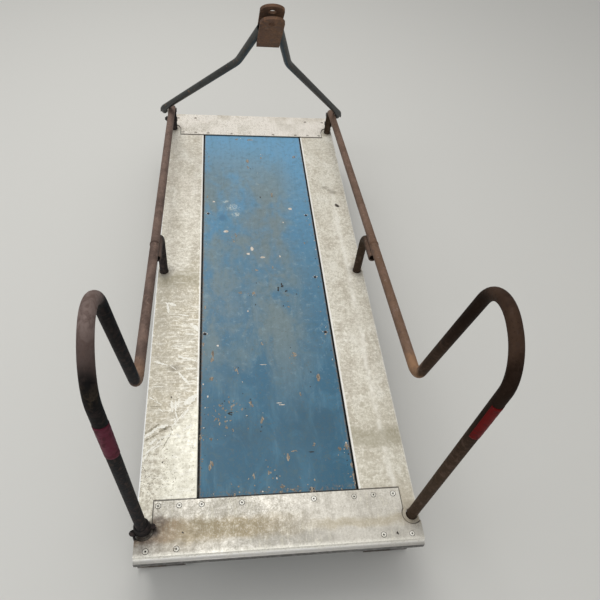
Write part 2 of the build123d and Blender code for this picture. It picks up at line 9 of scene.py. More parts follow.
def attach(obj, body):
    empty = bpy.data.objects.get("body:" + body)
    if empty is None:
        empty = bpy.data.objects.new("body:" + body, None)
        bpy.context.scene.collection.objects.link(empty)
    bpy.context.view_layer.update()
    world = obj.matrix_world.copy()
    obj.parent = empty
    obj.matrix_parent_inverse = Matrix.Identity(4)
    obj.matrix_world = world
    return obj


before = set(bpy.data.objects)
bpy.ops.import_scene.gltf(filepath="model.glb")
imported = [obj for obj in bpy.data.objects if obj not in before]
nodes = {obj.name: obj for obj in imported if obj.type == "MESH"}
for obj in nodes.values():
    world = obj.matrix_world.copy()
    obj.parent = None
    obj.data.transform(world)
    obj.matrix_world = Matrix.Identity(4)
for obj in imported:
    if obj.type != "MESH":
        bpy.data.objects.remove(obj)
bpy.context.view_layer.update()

# The deck's own measures: millimetres from its rear edge and over its top
MID_Y = 802.1
DECK_TOP = 190.0
DECK_HALF = 280.0
PLATE_TOP = 2.5
PANEL_TOP = -1.5
PLANK_INNER = 165.0
REAR_PLATE_FRONT = 113.8
REAR_TAB_HALF = 247.7
FRONT_PLATE_REAR = 1382.4
FRONT_TAB_HALF = 240.9
NOTCH_RADIUS = 21.0
NOSE_RADIUS = 9.0
PIPE_R = 10.65
REAR_POST = (264.8, 59.0)
MIDDLE_POST = (262.4, 742.7)
FRONT_POST = (264.6, 1417.2)
HOOP_REAR = (272.4, 34.8, 550.9)
SPINE_TOP = -148.5
SPINE_X = 262.0
SPINE_HALF = 21.0
SKI_TOP = -178.5
BEARER_TOP = -38.0
BEARER_LOW = -68.0


def on_deck(x, y, z=0.0):
    """A place given in millimetres over the deck's rear edge and top, in the sled's frame."""
    return Vector((x, y - MID_Y, z + DECK_TOP)) / 1000


def add_object(name, data):
    """A new object in the scene."""
    made = bpy.data.objects.new(name, data)
    bpy.context.scene.collection.objects.link(made)
    return made


# Camera, solved from the deck's straight edges and the mirrored rails
CAMERA_PLACE = (-0.1127, -1.1588, 1.3361)
CAMERA_RIGHT = Vector((0.99088137, -0.09644163, 0.09409105))
CAMERA_UP = Vector((0.01127207, 0.75521759, 0.65537725))
CAMERA_LENS = 34.93

camera = add_object("camera", bpy.data.cameras.new("camera"))
camera.data.lens = CAMERA_LENS
camera.data.clip_start = 0.05
axes = (CAMERA_RIGHT, CAMERA_UP, CAMERA_RIGHT.cross(CAMERA_UP))
camera.matrix_world = Matrix.Translation(CAMERA_PLACE) @ Matrix(axes).transposed().to_4x4()
bpy.context.scene.camera = camera


class NodeMaker:
    """Makes the nodes of one tree."""

    def __init__(self, tree):
        self.tree = tree

    def feed(self, entry, value):
        """Gives a socket a fixed value or the output of a node."""
        if isinstance(value, bpy.types.NodeSocket):
            self.tree.links.new(value, entry)
        elif entry.type == "RGBA" and len(value) == 3:
            entry.default_value = (*value, 1.0)
        else:
            entry.default_value = value

    def node(self, kind, *values, settings=(), **sockets):
        """A node; values feed its first sockets, sockets are fed by name, with an underscore for a space."""
        made = self.tree.nodes.new(kind)
        for label, setting in dict(settings).items():
            setattr(made, label, setting)
        for entry, value in zip(made.inputs, values):
            self.feed(entry, value)
        for label, value in sockets.items():
            self.feed(made.inputs[label.replace("_", " ")], value)
        return made

    def maths(self, operation, first, second=0.0):
        return self.node("ShaderNodeMath", first, second, settings={"operation": operation}).outputs[0]


# How far a noise pushes the outline of a mark, in metres, and a scale that makes a mark endlessly tall
RAGGED = 0.012
TALL = 100.0


class Finish(NodeMaker):
    """One finish: its nodes, and the colour that has been laid so far.

    A share says how far something reaches, from 0 to 1. It is a number, a node's output, or a tuple
    with the values of a ramp. Places are metres in the sled's frame where a call doesn't say otherwise.
    """

    def __init__(self, name, ground, **sockets):
        self.material = bpy.data.materials.new(name)
        self.material.use_nodes = True
        super().__init__(self.material.node_tree)
        self.shader = self.tree.nodes["Principled BSDF"]
        self.colour = ground
        self.here = self.node("ShaderNodeTexCoord").outputs["Object"]
        self.x, self.y, self.z = self.node("ShaderNodeSeparateXYZ", self.here).outputs
        self.away = self.maths("ABSOLUTE", self.x)
        for socket, value in sockets.items():
            self.feed(self.shader.inputs[socket.replace("_", " ")], value)

    def noise(self, scale, detail=3.0, rough=0.55, stretch=(1, 1, 1), shift=(0, 0, 0), warp=0.0):
        place = self.here
        if stretch != (1, 1, 1) or any(shift):
            place = self.node("ShaderNodeMapping", Vector=place, Location=shift, Scale=stretch).outputs[0]
        return self.node(
            "ShaderNodeTexNoise", Vector=place, Scale=scale, Detail=detail, Roughness=rough, Distortion=warp
        ).outputs["Fac"]

    def ramp(self, value, low, high, start=0.0, end=1.0):
        """Turns value into start below low and end above high, softly between."""
        soft = {"interpolation_type": "SMOOTHSTEP"}
        return self.node("ShaderNodeMapRange", value, low, high, start, end, settings=soft).outputs["Result"]

    def read(self, share):
        return self.ramp(*share) if isinstance(share, tuple) else share

    def fold(self, operation, shares):
        """All the shares joined by one operation, from the first to the last."""
        total = self.read(shares[0])
        for share in shares[1:]:
            total = self.maths(operation, total, self.read(share))
        return total

    def times(self, *shares):
        return self.fold("MULTIPLY", shares)

    def most(self, *shares):
        return self.fold("MAXIMUM", shares)

    def plus(self, *shares):
        return self.fold("ADD", shares)

    def minus(self, first, second):
        return self.maths("SUBTRACT", first, second)

    def between(self, value, low, high, soft):
        """One inside low to high, fading over soft at both ends."""
        return self.times((value, low - soft, low + soft), (value, high - soft, high + soft, 1.0, 0.0))

    def across(self, low, high, soft):
        """One where the distance from the sled's middle plane is between low and high millimetres."""
        return self.between(self.away, low / 1000, high / 1000, soft / 1000)

    def along(self, low, high, soft):
        """One where the distance from the deck's rear edge is between low and high millimetres."""
        return self.between(self.y, (low - MID_Y) / 1000, (high - MID_Y) / 1000, soft / 1000)

    def wander(self, axis, amount, scale):
        """The axis pushed this many millimetres to and fro, for lines that aren't quite straight."""
        return self.plus(axis, self.times(self.minus(self.noise(scale), 0.5), 2 * amount / 1000))

    def marks(self, table, grain, edge):
        """Spots on a level face: x, y, half width and half length in deck millimetres.

        A noise of this grain pushes their outlines about; edge is the share of their size that fades.
        """
        push = self.node("ShaderNodeTexNoise", Vector=self.here, Scale=grain, Detail=2.0).outputs["Color"]
        add = {"operation": "MULTIPLY_ADD"}
        pushed = self.node("ShaderNodeVectorMath", push, (RAGGED, RAGGED, 0.0), self.here, settings=add)
        spots = []
        for x, y, wide, long in table:
            place = on_deck(x, y)
            local = self.node(
                "ShaderNodeMapping",
                settings={"vector_type": "TEXTURE"},
                Vector=pushed.outputs[0],
                Location=(place.x + RAGGED / 2, place.y + RAGGED / 2, place.z),
                Scale=(wide / 1000, long / 1000, TALL),
            )
            size = self.node("ShaderNodeVectorMath", local.outputs[0], settings={"operation": "LENGTH"})
            spots.append((size.outputs["Value"], 1.0 - edge, 1.0 + edge, 1.0, 0.0))
        return self.most(*spots)

    def coat(self, share, under, over):
        """The colour over laid on the colour under, as far as share says."""
        mix = self.node("ShaderNodeMix", self.read(share), settings={"data_type": "RGBA"})
        for entry, colour in zip([s for s in mix.inputs if s.type == "RGBA"], (under, over)):
            self.feed(entry, colour)
        return next(s for s in mix.outputs if s.type == "RGBA")

    def lay(self, colour, *shares):
        """Lays a colour on what is there, as far as all the shares together say."""
        self.colour = self.coat(self.times(*shares), self.colour, colour)

    def done(self, rough, height=None, strength=0.0, depth=0.0):
        """The finished material; height, from 0 to 1, gives bump, and depth is in millimetres."""
        self.feed(self.shader.inputs["Base Color"], self.colour)
        self.feed(self.shader.inputs["Roughness"], self.read(rough))
        if height is not None:
            bump = self.node("ShaderNodeBump", Strength=strength, Distance=depth / 1000, Height=height)
            self.feed(self.shader.inputs["Normal"], bump.outputs[0])
        return self.material


def dirt_round_posts(finish, wide):
    """A dirty ring on the deck round each post, as a share."""
    posts = (REAR_POST, MIDDLE_POST, FRONT_POST)
    return finish.marks([(side * x, y, wide, wide) for x, y in posts for side in (-1, 1)], 60.0, 0.75)


# The end plates' outlines: front edge, half width of the tab, post in the notch, which way the tab
# faces, how far past the post the notch goes, and how many times as wide the dark line of grime and painted
# shade is at the front edge
GRIME_AND_SHADE_WIDE = 2.2
REAR_GRIME_AND_SHADE_WIDE = 3.7
PLATE_OUTLINES = (
    (REAR_PLATE_FRONT, REAR_TAB_HALF, REAR_POST, 1, 12.2, REAR_GRIME_AND_SHADE_WIDE / GRIME_AND_SHADE_WIDE),
    (FRONT_PLATE_REAR, FRONT_TAB_HALF, FRONT_POST, -1, 0.0, 1.0),
)
NOTCH_FADE = 0.8


def plate_edges(finish, inside, outside, soft):
    """One along the end plates' outlines, this far to the inside and outside in millimetres."""
    lines = []
    for front, half, post, facing, past, wider in PLATE_OUTLINES:
        low, high = sorted((front - facing * inside, front + facing * outside * wider))
        lines.append(finish.times(finish.along(low, high, soft), finish.across(-1.0, half + outside, soft)))
        low, high = sorted((front, post[1] + facing * past))
        side = finish.across(half - inside, half + outside, soft)
        lines.append(finish.times(side, finish.along(low, high, soft)))
        beside = finish.minus(finish.away, post[0] / 1000)
        ahead = finish.minus(finish.y, (post[1] - MID_Y) / 1000)
        far = finish.maths("SQRT", finish.plus(finish.times(beside, beside), finish.times(ahead, ahead)))
        nearest, furthest = (NOTCH_RADIUS - outside) / 1000, (NOTCH_RADIUS + inside) / 1000
        arc = finish.between(far, nearest, furthest, soft / 1000)
        covered = (finish.times(ahead, float(facing)), (past + NOTCH_FADE) / 1000, past / 1000)
        lines.append(finish.times(arc, covered))
    return finish.most(*lines)


def plank_finish():
    """Old bare aluminium: cloudy, stained tan, scraped pale across, with a painted highlight on the folded
    edges and over the left plank's rear.
    """
    metal = Finish("aluminium_planks", (0.725, 0.692, 0.602), Metallic=0.25)
    x, y, z = metal.x, metal.y, metal.z
    clouds = metal.noise(7.0, 4.0, 0.6, warp=0.3)
    haze = metal.noise(24.0, 5.0, 0.66, stretch=(1.0, 0.7, 1.0), warp=0.3)
    mottle = metal.noise(95.0, 5.0, 0.72, warp=0.25)
    grain = metal.noise(240.0, 4.0, 0.75, stretch=(1.0, 0.8, 1.0), shift=(5, 3, 0))
    crumbs = metal.noise(330.0, 3.0, 0.7)
    smudges = metal.noise(19.0, 5.0, 0.62, stretch=(1.3, 0.8, 1.0), shift=(9, 4, 0), warp=0.5)
    scrapes = metal.noise(52.0, 5.0, 0.62, stretch=(0.4, 3.6, 1.0), shift=(3, 1, 0), warp=0.9)
    swirls = metal.noise(34.0, 5.0, 0.6, stretch=(0.8, 1.8, 1.0), shift=(1, 7, 0), warp=3.2)
    worn = metal.plus(metal.times(haze, 0.7), metal.times(mottle, 0.3))

    # The left plank is cream behind, clean metal under a painted highlight, and tan along its middle; the
    # right one is a little darker behind
    on_left, on_right = metal.ramp(x, 0.1, -0.1), metal.ramp(x, -0.1, 0.1)
    drift = metal.wander(y, 34.0, 20.0)
    fall = metal.minus(drift, metal.times(metal.plus(x, 0.22), 0.9))
    cream_and_highlight = metal.times(on_left, (fall, -0.505, -0.530))
    soil = metal.ramp(cream_and_highlight, 0.0, 1.0, 1.0, 0.40)
    metal.lay((0.885, 0.865, 0.745), cream_and_highlight)
    metal.lay((0.53, 0.465, 0.425), on_left, (y, -0.05, 0.30), 0.25)
    metal.lay((0.60, 0.565, 0.485), (clouds, 0.42, 0.62), soil, 0.5)
    metal.lay((0.47, 0.42, 0.335), (worn, 0.47, 0.62), soil, 0.5)
    metal.lay((0.36, 0.32, 0.25), (mottle, 0.53, 0.66), soil, 0.4)
    metal.lay((0.41, 0.36, 0.285), (smudges, 0.49, 0.66), soil, 0.5)
    metal.lay((0.85, 0.83, 0.76), (smudges, 0.47, 0.35), soil, 0.5)
    tan = metal.times(on_left, metal.between(fall, -0.517, -0.050, 0.013))
    metal.lay((0.49, 0.44, 0.335), tan, (haze, 0.62, 0.38, 0.45, 0.9))
    metal.lay((0.50, 0.46, 0.355), on_right, (drift, -0.43, -0.50), 0.35)
    metal.lay((0.47, 0.42, 0.335), cream_and_highlight, (x, -0.212, -0.256), (mottle, 0.43, 0.62, 0.15, 0.85))
    metal.lay((0.47, 0.44, 0.35), (grain, 0.50, 0.62), (cream_and_highlight, 0.0, 1.0, 0.7, 0.5))
    metal.lay((0.90, 0.88, 0.795), (mottle, 0.47, 0.36), 0.5)
    metal.lay((0.93, 0.91, 0.82), (grain, 0.47, 0.36), 0.5)

    # Scrapes go across, most of them on the left plank's inner half, with swirls behind its middle post
    swirl = metal.times(metal.between(swirls, 0.48, 0.50, 0.012), (haze, 0.42, 0.6))
    metal.lay((0.92, 0.90, 0.81), swirl, on_left, (y, -0.20, -0.32), 0.6)
    scraped = metal.times((scrapes, 0.53, 0.62), (x, -0.1, 0.1, 0.85, 0.25))
    metal.lay((0.88, 0.86, 0.78), scraped, (metal.away, 0.262, 0.215, 0.35, 1.0), (y, 0.15, -0.15, 0.35, 1.0))

    # A long pale rub along the right plank, and stains in bands beside and behind the middle posts
    rub = metal.between(metal.wander(x, 12.0, 12.0), 0.232, 0.243, 0.007)
    metal.lay((0.90, 0.88, 0.81), rub, (haze, 0.35, 0.55), (y, 0.40, 0.25), 0.6)
    tide = metal.wander(y, 26.0, 18.0)
    left_tide = metal.times(metal.between(tide, -0.115, -0.062, 0.022), on_left)
    right_tide = metal.times(metal.between(tide, -0.593, -0.545, 0.010), (x, 0.1, 0.16))
    metal.lay((0.31, 0.28, 0.19), metal.most(left_tide, right_tide), 0.5)
    metal.lay((0.24, 0.21, 0.16), (crumbs, 0.61, 0.71), 0.4)

    # Dirt round the posts, a dark patch at the left rear post's foot under the lashing, dark smears, and
    # empty holes painted as dark spots for the shade in them
    metal.lay((0.17, 0.145, 0.115), dirt_round_posts(metal, 19.0), 0.7)
    smears = (
        (-233.0, 275.0, 9.0, 5.0), (-222.0, 430.0, 14.0, 8.0), (217.0, 1105.0, 10.0, 6.0),
        (231.0, 1094.0, 9.0, 6.0), (241.0, 1083.0, 12.0, 8.0),
    )
    metal.lay((0.24, 0.21, 0.16), metal.marks(smears, 70.0, 0.7), 0.6)
    foot = metal.marks(((-264.0, 56.0, 25.0, 24.0), (-250.0, 60.0, 16.0, 14.0)), 60.0, 0.3)
    metal.lay((0.080, 0.060, 0.048), foot, (mottle, 0.36, 0.58, 0.6, 0.95))
    metal.lay((0.46, 0.40, 0.30), on_right, (y, -0.66, -0.71), 0.45)
    hole_shade_spots = (
        (245.5, 1019.0, 7.0, 7.6), (-236.0, 196.0, 1.6, 1.8), (-226.0, 350.0, 2.2, 2.2),
        (-246.0, 244.0, 2.0, 2.4),
    )
    metal.lay((0.06, 0.045, 0.035), metal.marks(hole_shade_spots, 90.0, 0.2))

    # The folded edges get a painted highlight, and a dark line of grime with painted shade lies along the end
    # plates
    edge = metal.coat(cream_and_highlight, (0.93, 0.92, 0.88), (0.84, 0.82, 0.715))
    metal.lay(edge, metal.across(PLANK_INNER - 5.0, PLANK_INNER + 4.2, 0.7), 0.8)
    outer_edge_highlight = metal.across(DECK_HALF - 2.7, DECK_HALF + 1.0, 0.6)
    metal.lay((0.90, 0.92, 0.93), outer_edge_highlight, (x, -0.1, 0.1, 0.85, 0.3))
    metal.lay((0.045, 0.036, 0.028), plate_edges(metal, 0.0, GRIME_AND_SHADE_WIDE, 0.4), 0.85)

    # Under the deck the metal is laid a darker, duller grey, and the slot beside the panel is painted near
    # black for its shade and grime
    under = metal.ramp(z, 0.1875, 0.1865)
    metal.lay((0.30, 0.285, 0.25), under, 0.65)
    metal.lay((0.010, 0.009, 0.008), under, metal.across(140.0, PLANK_INNER + 1.0, 0.8), (z, 0.160, 0.165))
    height = metal.plus(metal.times(clouds, 1.3), metal.times(scrapes, 0.3))
    height = metal.minus(height, metal.times(crumbs, 0.15))
    return metal.done((metal.plus(worn, mottle), 0.7, 1.25, 0.40, 0.70), height, 0.35, 0.8)


def plate_finish():
    """The end plates' aluminium: mottled, with an ochre stain, pale scuffs, a worn pale rolled edge under a
    painted shine, and painted shade on the flange and along the edges.
    """
    metal = Finish("aluminium_plates", (0.655, 0.625, 0.560), Metallic=0.3)
    x, y, z = metal.x, metal.y, metal.z
    clouds = metal.noise(12.0, 4.0, 0.6, warp=0.4)
    mottle = metal.noise(80.0, 5.0, 0.70, warp=0.3)
    grain = metal.noise(270.0, 4.0, 0.78, shift=(2, 6, 0))
    strokes = metal.noise(110.0, 4.0, 0.65, stretch=(2.0, 0.25, 0.5), warp=0.15)
    scuffs = metal.noise(46.0, 4.0, 0.6, stretch=(2.6, 0.45, 1.0), shift=(4, 2, 0), warp=1.2)
    crumbs = metal.noise(300.0, 3.0, 0.68)
    in_front = metal.ramp(y, -0.2, 0.2)
    mottled = metal.ramp(x, -0.05, 0.12, 1.0, 0.5)
    metal.lay((0.87, 0.82, 0.755), in_front)
    metal.lay((0.51, 0.48, 0.42), (clouds, 0.42, 0.64), 0.55)
    metal.lay((0.39, 0.36, 0.29), (mottle, 0.50, 0.64), mottled, 0.5)
    metal.lay((0.85, 0.83, 0.765), (mottle, 0.46, 0.36), mottled, 0.55)
    metal.lay((0.40, 0.37, 0.32), (strokes, 0.48, 0.66), 0.2)
    metal.lay((0.86, 0.84, 0.775), (strokes, 0.48, 0.34), 0.2)
    metal.lay((0.36, 0.335, 0.265), (grain, 0.50, 0.63), mottled, 0.7)
    metal.lay((0.93, 0.915, 0.85), (grain, 0.47, 0.37), mottled, 0.6)

    # The ochre band across the rear plate with grey behind it: strong on the left, a tide mark on the right
    place = metal.wander(y, 14.0, 26.0)
    grey = metal.between(place, -0.792, -0.765, 0.006)
    metal.lay((0.40, 0.385, 0.345), grey, (clouds, 0.35, 0.6, 0.5, 1.0), 0.45)
    band = metal.times(metal.between(place, -0.769, -0.728, 0.009), (x, 0.10, -0.08))
    band = metal.times(band, (mottle, 0.30, 0.52, 0.6, 1.0), (grain, 0.36, 0.50, 0.6, 1.0))
    ochre = metal.coat((x, -0.17, -0.22), (0.325, 0.260, 0.150), (0.40, 0.275, 0.155))
    metal.lay(ochre, band, 0.85)
    tide = metal.between(place, -0.762, -0.743, 0.006)
    metal.lay((0.46, 0.405, 0.295), tide, (x, 0.02, 0.10), (grain, 0.36, 0.6, 0.5, 0.8))
    far_band = metal.between(place, 0.675, 0.705, 0.02)
    metal.lay((0.46, 0.40, 0.31), far_band, (clouds, 0.42, 0.6), 0.25)
    scuff = metal.times(metal.between(scuffs, 0.565, 0.63, 0.01), (crumbs, 0.40, 0.6, 0.3, 1.0))
    metal.lay((0.83, 0.80, 0.66), scuff, (clouds, 0.46, 0.56), (in_front, 0.0, 1.0, 1.0, 0.3), 0.4)
    metal.lay((0.24, 0.20, 0.155), (crumbs, 0.61, 0.71), 0.4)

    # Dirt round the posts, most of it beside the lashing, and the empty holes painted as dark spots for the
    # shade in them
    metal.lay((0.22, 0.18, 0.145), dirt_round_posts(metal, 24.0), 0.5)
    stained = metal.marks(((-196.0, 44.0, 44.0, 30.0),), 40.0, 0.9)
    metal.lay((0.29, 0.245, 0.170), stained, (mottle, 0.30, 0.55, 0.35, 0.60))
    dirty = metal.marks(((-262.0, 50.0, 34.0, 30.0), (-236.0, 74.0, 15.0, 13.0)), 70.0, 0.9)
    metal.lay((0.125, 0.095, 0.078), dirty, (mottle, 0.36, 0.58, 0.35, 1.0), 0.8)
    metal.lay((0.045, 0.033, 0.030), metal.marks(((-250.0, 57.0, 15.0, 12.0),), 90.0, 0.6), 0.9)
    hole_shade_spots = ((-190.1, 50.1, 2.6, 3.0), (227.9, 22.6, 2.0, 3.0))
    metal.lay((0.03, 0.025, 0.02), metal.marks(hole_shade_spots, 120.0, 0.3))

    # The roll over the rear edge is worn pale and painted lighter as a highlight, has a painted shine along
    # its turn, and goes down into painted shade on the flange
    rolled = (DECK_TOP + PLATE_TOP - NOSE_RADIUS) / 1000
    rubbed_and_lit_rim = metal.times((y, -0.784, -0.794), (grain, 0.64, 0.44, 0.45, 1.0))
    metal.lay((0.88, 0.86, 0.78), rubbed_and_lit_rim, (x, 0.02, 0.22, 1.0, 0.6))
    painted_roll_shine = metal.times((y, -0.794, -0.796), (z, rolled + 0.0058, rolled + 0.0040))
    roll_shine_strength = metal.times((x, 0.02, 0.22, 0.85, 0.45), (mottle, 0.60, 0.42, 0.45, 1.0))
    metal.lay((0.96, 0.95, 0.92), painted_roll_shine, roll_shine_strength)
    level = metal.plus(z, metal.times(mottle, 0.003))
    painted_flange_shade = (level, rolled + 0.0062, rolled - 0.0016)
    metal.lay((0.055, 0.052, 0.048), painted_flange_shade, (mottle, 0.35, 0.55, 0.88, 0.98))
    # A dark line along the plates' own edges: grime with painted shade on the edge faces
    metal.lay((0.09, 0.075, 0.06), plate_edges(metal, 0.35, 0.2, 0.08), 0.75)
    rough = metal.times((metal.plus(clouds, mottle), 0.7, 1.25, 0.36, 0.66), (painted_roll_shine, 0.0, 1.0, 1.0, 0.8))
    height = metal.plus(clouds, metal.plus(metal.times(strokes, 0.12), metal.times(mottle, 0.12)))
    return metal.done(rough, height, 0.3, 0.7)


# Scrapes and dark streaks seen on the left plank: start, end and width, in deck millimetres
SCRAPES = (
    (-263, 343, -245, 333, 1.6), (-253, 325, -242, 315, 1.6), (-277, 380, -244, 381, 1.3),
    (-224, 342, -221, 315, 4.4), (-216, 342, -214, 316, 3.5), (-216, 317, -210, 296, 2.2),
    (-208, 346, -209, 327, 1.6), (-276, 255, -252, 276, 5.0), (-252, 276, -229, 282, 5.0),
    (-266, 237, -250, 252, 3.9), (-274, 215, -254, 235, 2.8), (-254, 235, -237, 253, 2.8),
    (-195, 314, -222, 276, 1.9), (-222, 270, -230, 240, 1.6), (-194, 333, -170, 355, 9.5),
    (-207, 135, -173, 131, 1.9), (-210, 119, -193, 131, 1.6), (-275, 354, -263, 346, 2.2),
    (-252, 630, -225, 622, 5.8), (-248, 628, -243, 596, 4.1), (-270, 451, -238, 438, 3.8),
    (-266, 501, -254, 500, 1.7), (-239, 491, -205, 494, 1.5), (-215, 463, -170, 448, 4.7),
    (-233, 439, -217, 424, 1.5), (-213, 419, -188, 385, 4.1), (-196, 427, -171, 426, 2.9),
    (-201, 531, -171, 525, 2.6), (-195, 576, -168, 573, 2.0), (-187, 562, -169, 540, 7.3),
    (-218, 592, -193, 586, 2.9), (-232, 575, -215, 567, 1.5), (-217, 300, -212, 280, 2.4),
    (-200, 300, -186, 322, 3.4), (-262, 222, -240, 238, 2.4), (-236, 252, -222, 262, 2.2),
    (-196, 268, -178, 280, 4.6), (-212, 262, -202, 250, 3.2), (-276, 200, -268, 216, 2.0),
)
STREAKS = (
    (-276, 263, -248, 286, 3.4), (-275, 247, -247, 263, 3.6), (-248, 243, -236, 252, 2.6),
    (-247, 266, -226, 279, 5.2), (-238, 227, -222, 262, 1.8), (-270, 330, -246, 329, 1.8),
    (-231, 226, -227, 225, 2.2), (-224, 280, -220, 268, 2.6), (-220, 346, -208, 347, 1.6),
)

# Marks seen on the panel: x, y, half width and half length, in deck millimetres
BARE_WOOD = (
    (-135, 459, 4, 15), (-14, 496, 5, 4), (62, 461, 6, 6), (-78, 416, 4, 7), (113, 394, 6, 10),
    (-137, 395, 6, 7), (-48, 331, 7, 5), (-26, 282, 4, 9), (-117, 327, 4, 4), (-97, 335, 3, 4),
    (-87, 326, 3, 3), (-105, 312, 4, 3), (-127, 295, 4, 4), (-104, 272, 5, 4), (-137, 245, 5, 4),
    (25, 195, 4, 10), (40, 208, 8, 2), (-137, 183, 5, 12), (-17, 162, 4, 5), (-5, 168, 3, 2),
    (-50, 156, 3, 7), (6, 133, 4, 4), (29, 123, 9, 2), (68, 119, 6, 3), (138, 209, 5, 4),
    (153, 216, 5, 5), (-91, 120, 4, 3), (66, 351, 3, 5), (-160, 248, 3, 5), (83, 222, 4, 4),
    (-22, 1240, 6, 9), (-21, 1208, 4, 7), (22, 1254, 4, 8), (-64, 664, 7, 4), (-28, 660, 4, 7),
    (-68, 883, 3, 9), (-16, 747, 6, 4), (61, 613, 4, 3), (150, 933, 4, 5), (-150, 1055, 4, 6),
    (47, 1071, 3, 14), (-10, 1361, 12, 4), (128, 852, 4, 4), (-153, 614, 3, 6), (-69, 315, 4, 4),
    (-98, 348, 2, 3), (-119, 328, 3, 3), (-112, 320, 4, 3), (-93, 322, 3, 4), (-87, 337, 3, 3),
    (-82, 329, 2, 3), (-92, 316, 3, 3), (-120, 306, 3, 3), (-121, 291, 3, 4), (-118, 282, 3, 3),
    (-107, 297, 3, 2), (-95, 287, 2, 3), (-128, 314, 2, 3), (-44, 323, 4, 3), (148, 524, 6, 4),
    (154, 215, 5, 8), (8, 132, 6, 4), (5, 121, 7, 3), (42, 120, 5, 2), (68, 123, 6, 4),
    (158, 168, 3, 8), (159, 147, 2, 9), (159, 128, 2, 8), (-159, 251, 2, 6), (-156, 500, 3, 7),
    (133, 1267, 5, 8), (-54, 1363, 8, 3), (-76, 862, 3, 8), (29, 754, 3, 6), (-25, 662, 4, 5),
)
PALE_CHIPS = (
    (-25, 829, 5, 8), (-36, 809, 5, 4), (-96, 901, 7, 5), (4, 795, 8, 4), (98, 1003, 6, 5),
    (-131, 1033, 4, 3), (72, 941, 2, 3), (52, 799, 2, 4), (-122, 493, 3, 3), (-145, 351, 2, 3),
    (-15, 434, 10, 1), (21, 323, 9, 1.2), (16, 328, 6, 1), (-45, 600, 2, 3), (-33, 123, 2, 2),
)
SCUFFS = ((-74, 1007, 16, 12), (-65, 975, 11, 9), (-96, 1034, 7, 5), (3, 1123, 4, 4))
DARK_SPOTS = (
    (49, 690, 4, 7), (59, 669, 4, 4), (38, 675, 3, 7), (-95, 305, 6, 4), (-25, 623, 1.5, 4),
    (79, 205, 10, 1.2), (91, 369, 2, 2), (11, 1056, 3, 4), (85, 656, 2.5, 2.5),
)


def panel_finish():
    """Worn blue paint on plywood: dirt rubbed in along the middle, scuffs and grime at the edges."""
    paint = Finish("blue_plywood", (0.027, 0.116, 0.195), Specular_IOR_Level=0.3)
    clouds = paint.noise(5.0, 4.0, 0.6, stretch=(1.5, 0.8, 1.0), warp=0.6)
    patches = paint.noise(15.0, 5.0, 0.64, stretch=(1.4, 0.75, 1.0), shift=(2, 5, 0), warp=0.7)
    mottle = paint.noise(70.0, 5.0, 0.7, warp=0.3)
    streaks = paint.noise(60.0, 4.0, 0.65, stretch=(1.8, 0.16, 1.0))
    crumbs = paint.noise(210.0, 4.0, 0.72)

    # Darker behind, greyed by dirt along the middle
    paint.lay((0.140, 0.330, 0.520), (paint.y, -0.70, 0.60))
    paint.lay((0.095, 0.275, 0.42), (patches, 0.45, 0.7), 0.35)
    middle = paint.ramp(paint.maths("ABSOLUTE", paint.plus(paint.y, -0.02)), 0.24, 0.58, 1.0, 0.12)
    dirty = paint.ramp(paint.plus(clouds, paint.times(patches, 0.6)), 0.64, 0.92)
    paint.lay((0.200, 0.250, 0.250), dirty, middle, (paint.x, 0.05, 0.14, 1.0, 0.2), 0.8)
    greyed = paint.marks(((18, 900, 62, 210), (-70, 640, 78, 95)), 14.0, 0.7)
    paint.lay((0.195, 0.245, 0.260), greyed, (patches, 0.35, 0.6, 0.4, 1.0), 0.5)
    paint.lay((0.092, 0.155, 0.170), (mottle, 0.50, 0.66), 0.35)
    paint.lay((0.27, 0.39, 0.45), (mottle, 0.45, 0.33), middle, 0.4)
    paint.lay((0.070, 0.135, 0.165), (streaks, 0.5, 0.7), 0.18)
    paint.lay((0.25, 0.37, 0.44), (streaks, 0.48, 0.3), (patches, 0.4, 0.6), 0.13)
    paint.lay((0.135, 0.115, 0.09), (crumbs, 0.58, 0.70), 0.55)
    shadowed = paint.marks(((95, 275, 60, 42), (-60, 250, 40, 26)), 12.0, 0.9)
    paint.lay((0.04, 0.075, 0.10), shadowed, 0.28)
    paint.lay((0.085, 0.205, 0.33), paint.marks(((-107, 960, 11, 13),), 60.0, 0.5))

    # Bare wood at the rear and side edges, pale scuffs, and near black lines along the planks and end plates:
    # grime in the seams and the gap, with painted shade
    rear_edge = paint.times((crumbs, 0.50, 0.58), (paint.y, -0.668, -0.686))
    side_edge = paint.times((paint.away, 0.1560, 0.1600), (crumbs, 0.44, 0.54))
    wood = paint.most(rear_edge, side_edge)
    paint.lay((0.27, 0.205, 0.155), wood, 0.75)
    paint.lay((0.72, 0.76, 0.70), paint.marks(SCUFFS, 55.0, 0.9), (crumbs, 0.46, 0.58), 0.85)
    grime_and_shade_beside_planks = paint.times((paint.away, 0.1590, 0.1606), 0.8)
    darkening = paint.most(plate_edges(paint, 0.0, 2.6, 0.4), grime_and_shade_beside_planks)
    paint.lay((0.018, 0.017, 0.015), darkening, 0.93)
    height = paint.plus(streaks, paint.times(crumbs, 0.5))
    return paint.done((paint.plus(patches, wood), 0.35, 1.3, 0.45, 0.85), height, 0.3, 0.25)


def chip_finish(name, low, high):
    """The bottom of a chip, or a crumb stuck on the paint: two tones along the grain."""
    chip = Finish(name, low)
    crumbs = chip.noise(420.0, 2.0, 0.6)
    chip.lay(high, (chip.noise(160.0, 3.0, 0.6, stretch=(2.0, 0.5, 1.0)), 0.35, 0.65))
    chip.lay(low, (crumbs, 0.5, 0.62), 0.5)
    return chip.done(0.85, crumbs, 0.5, 0.3)


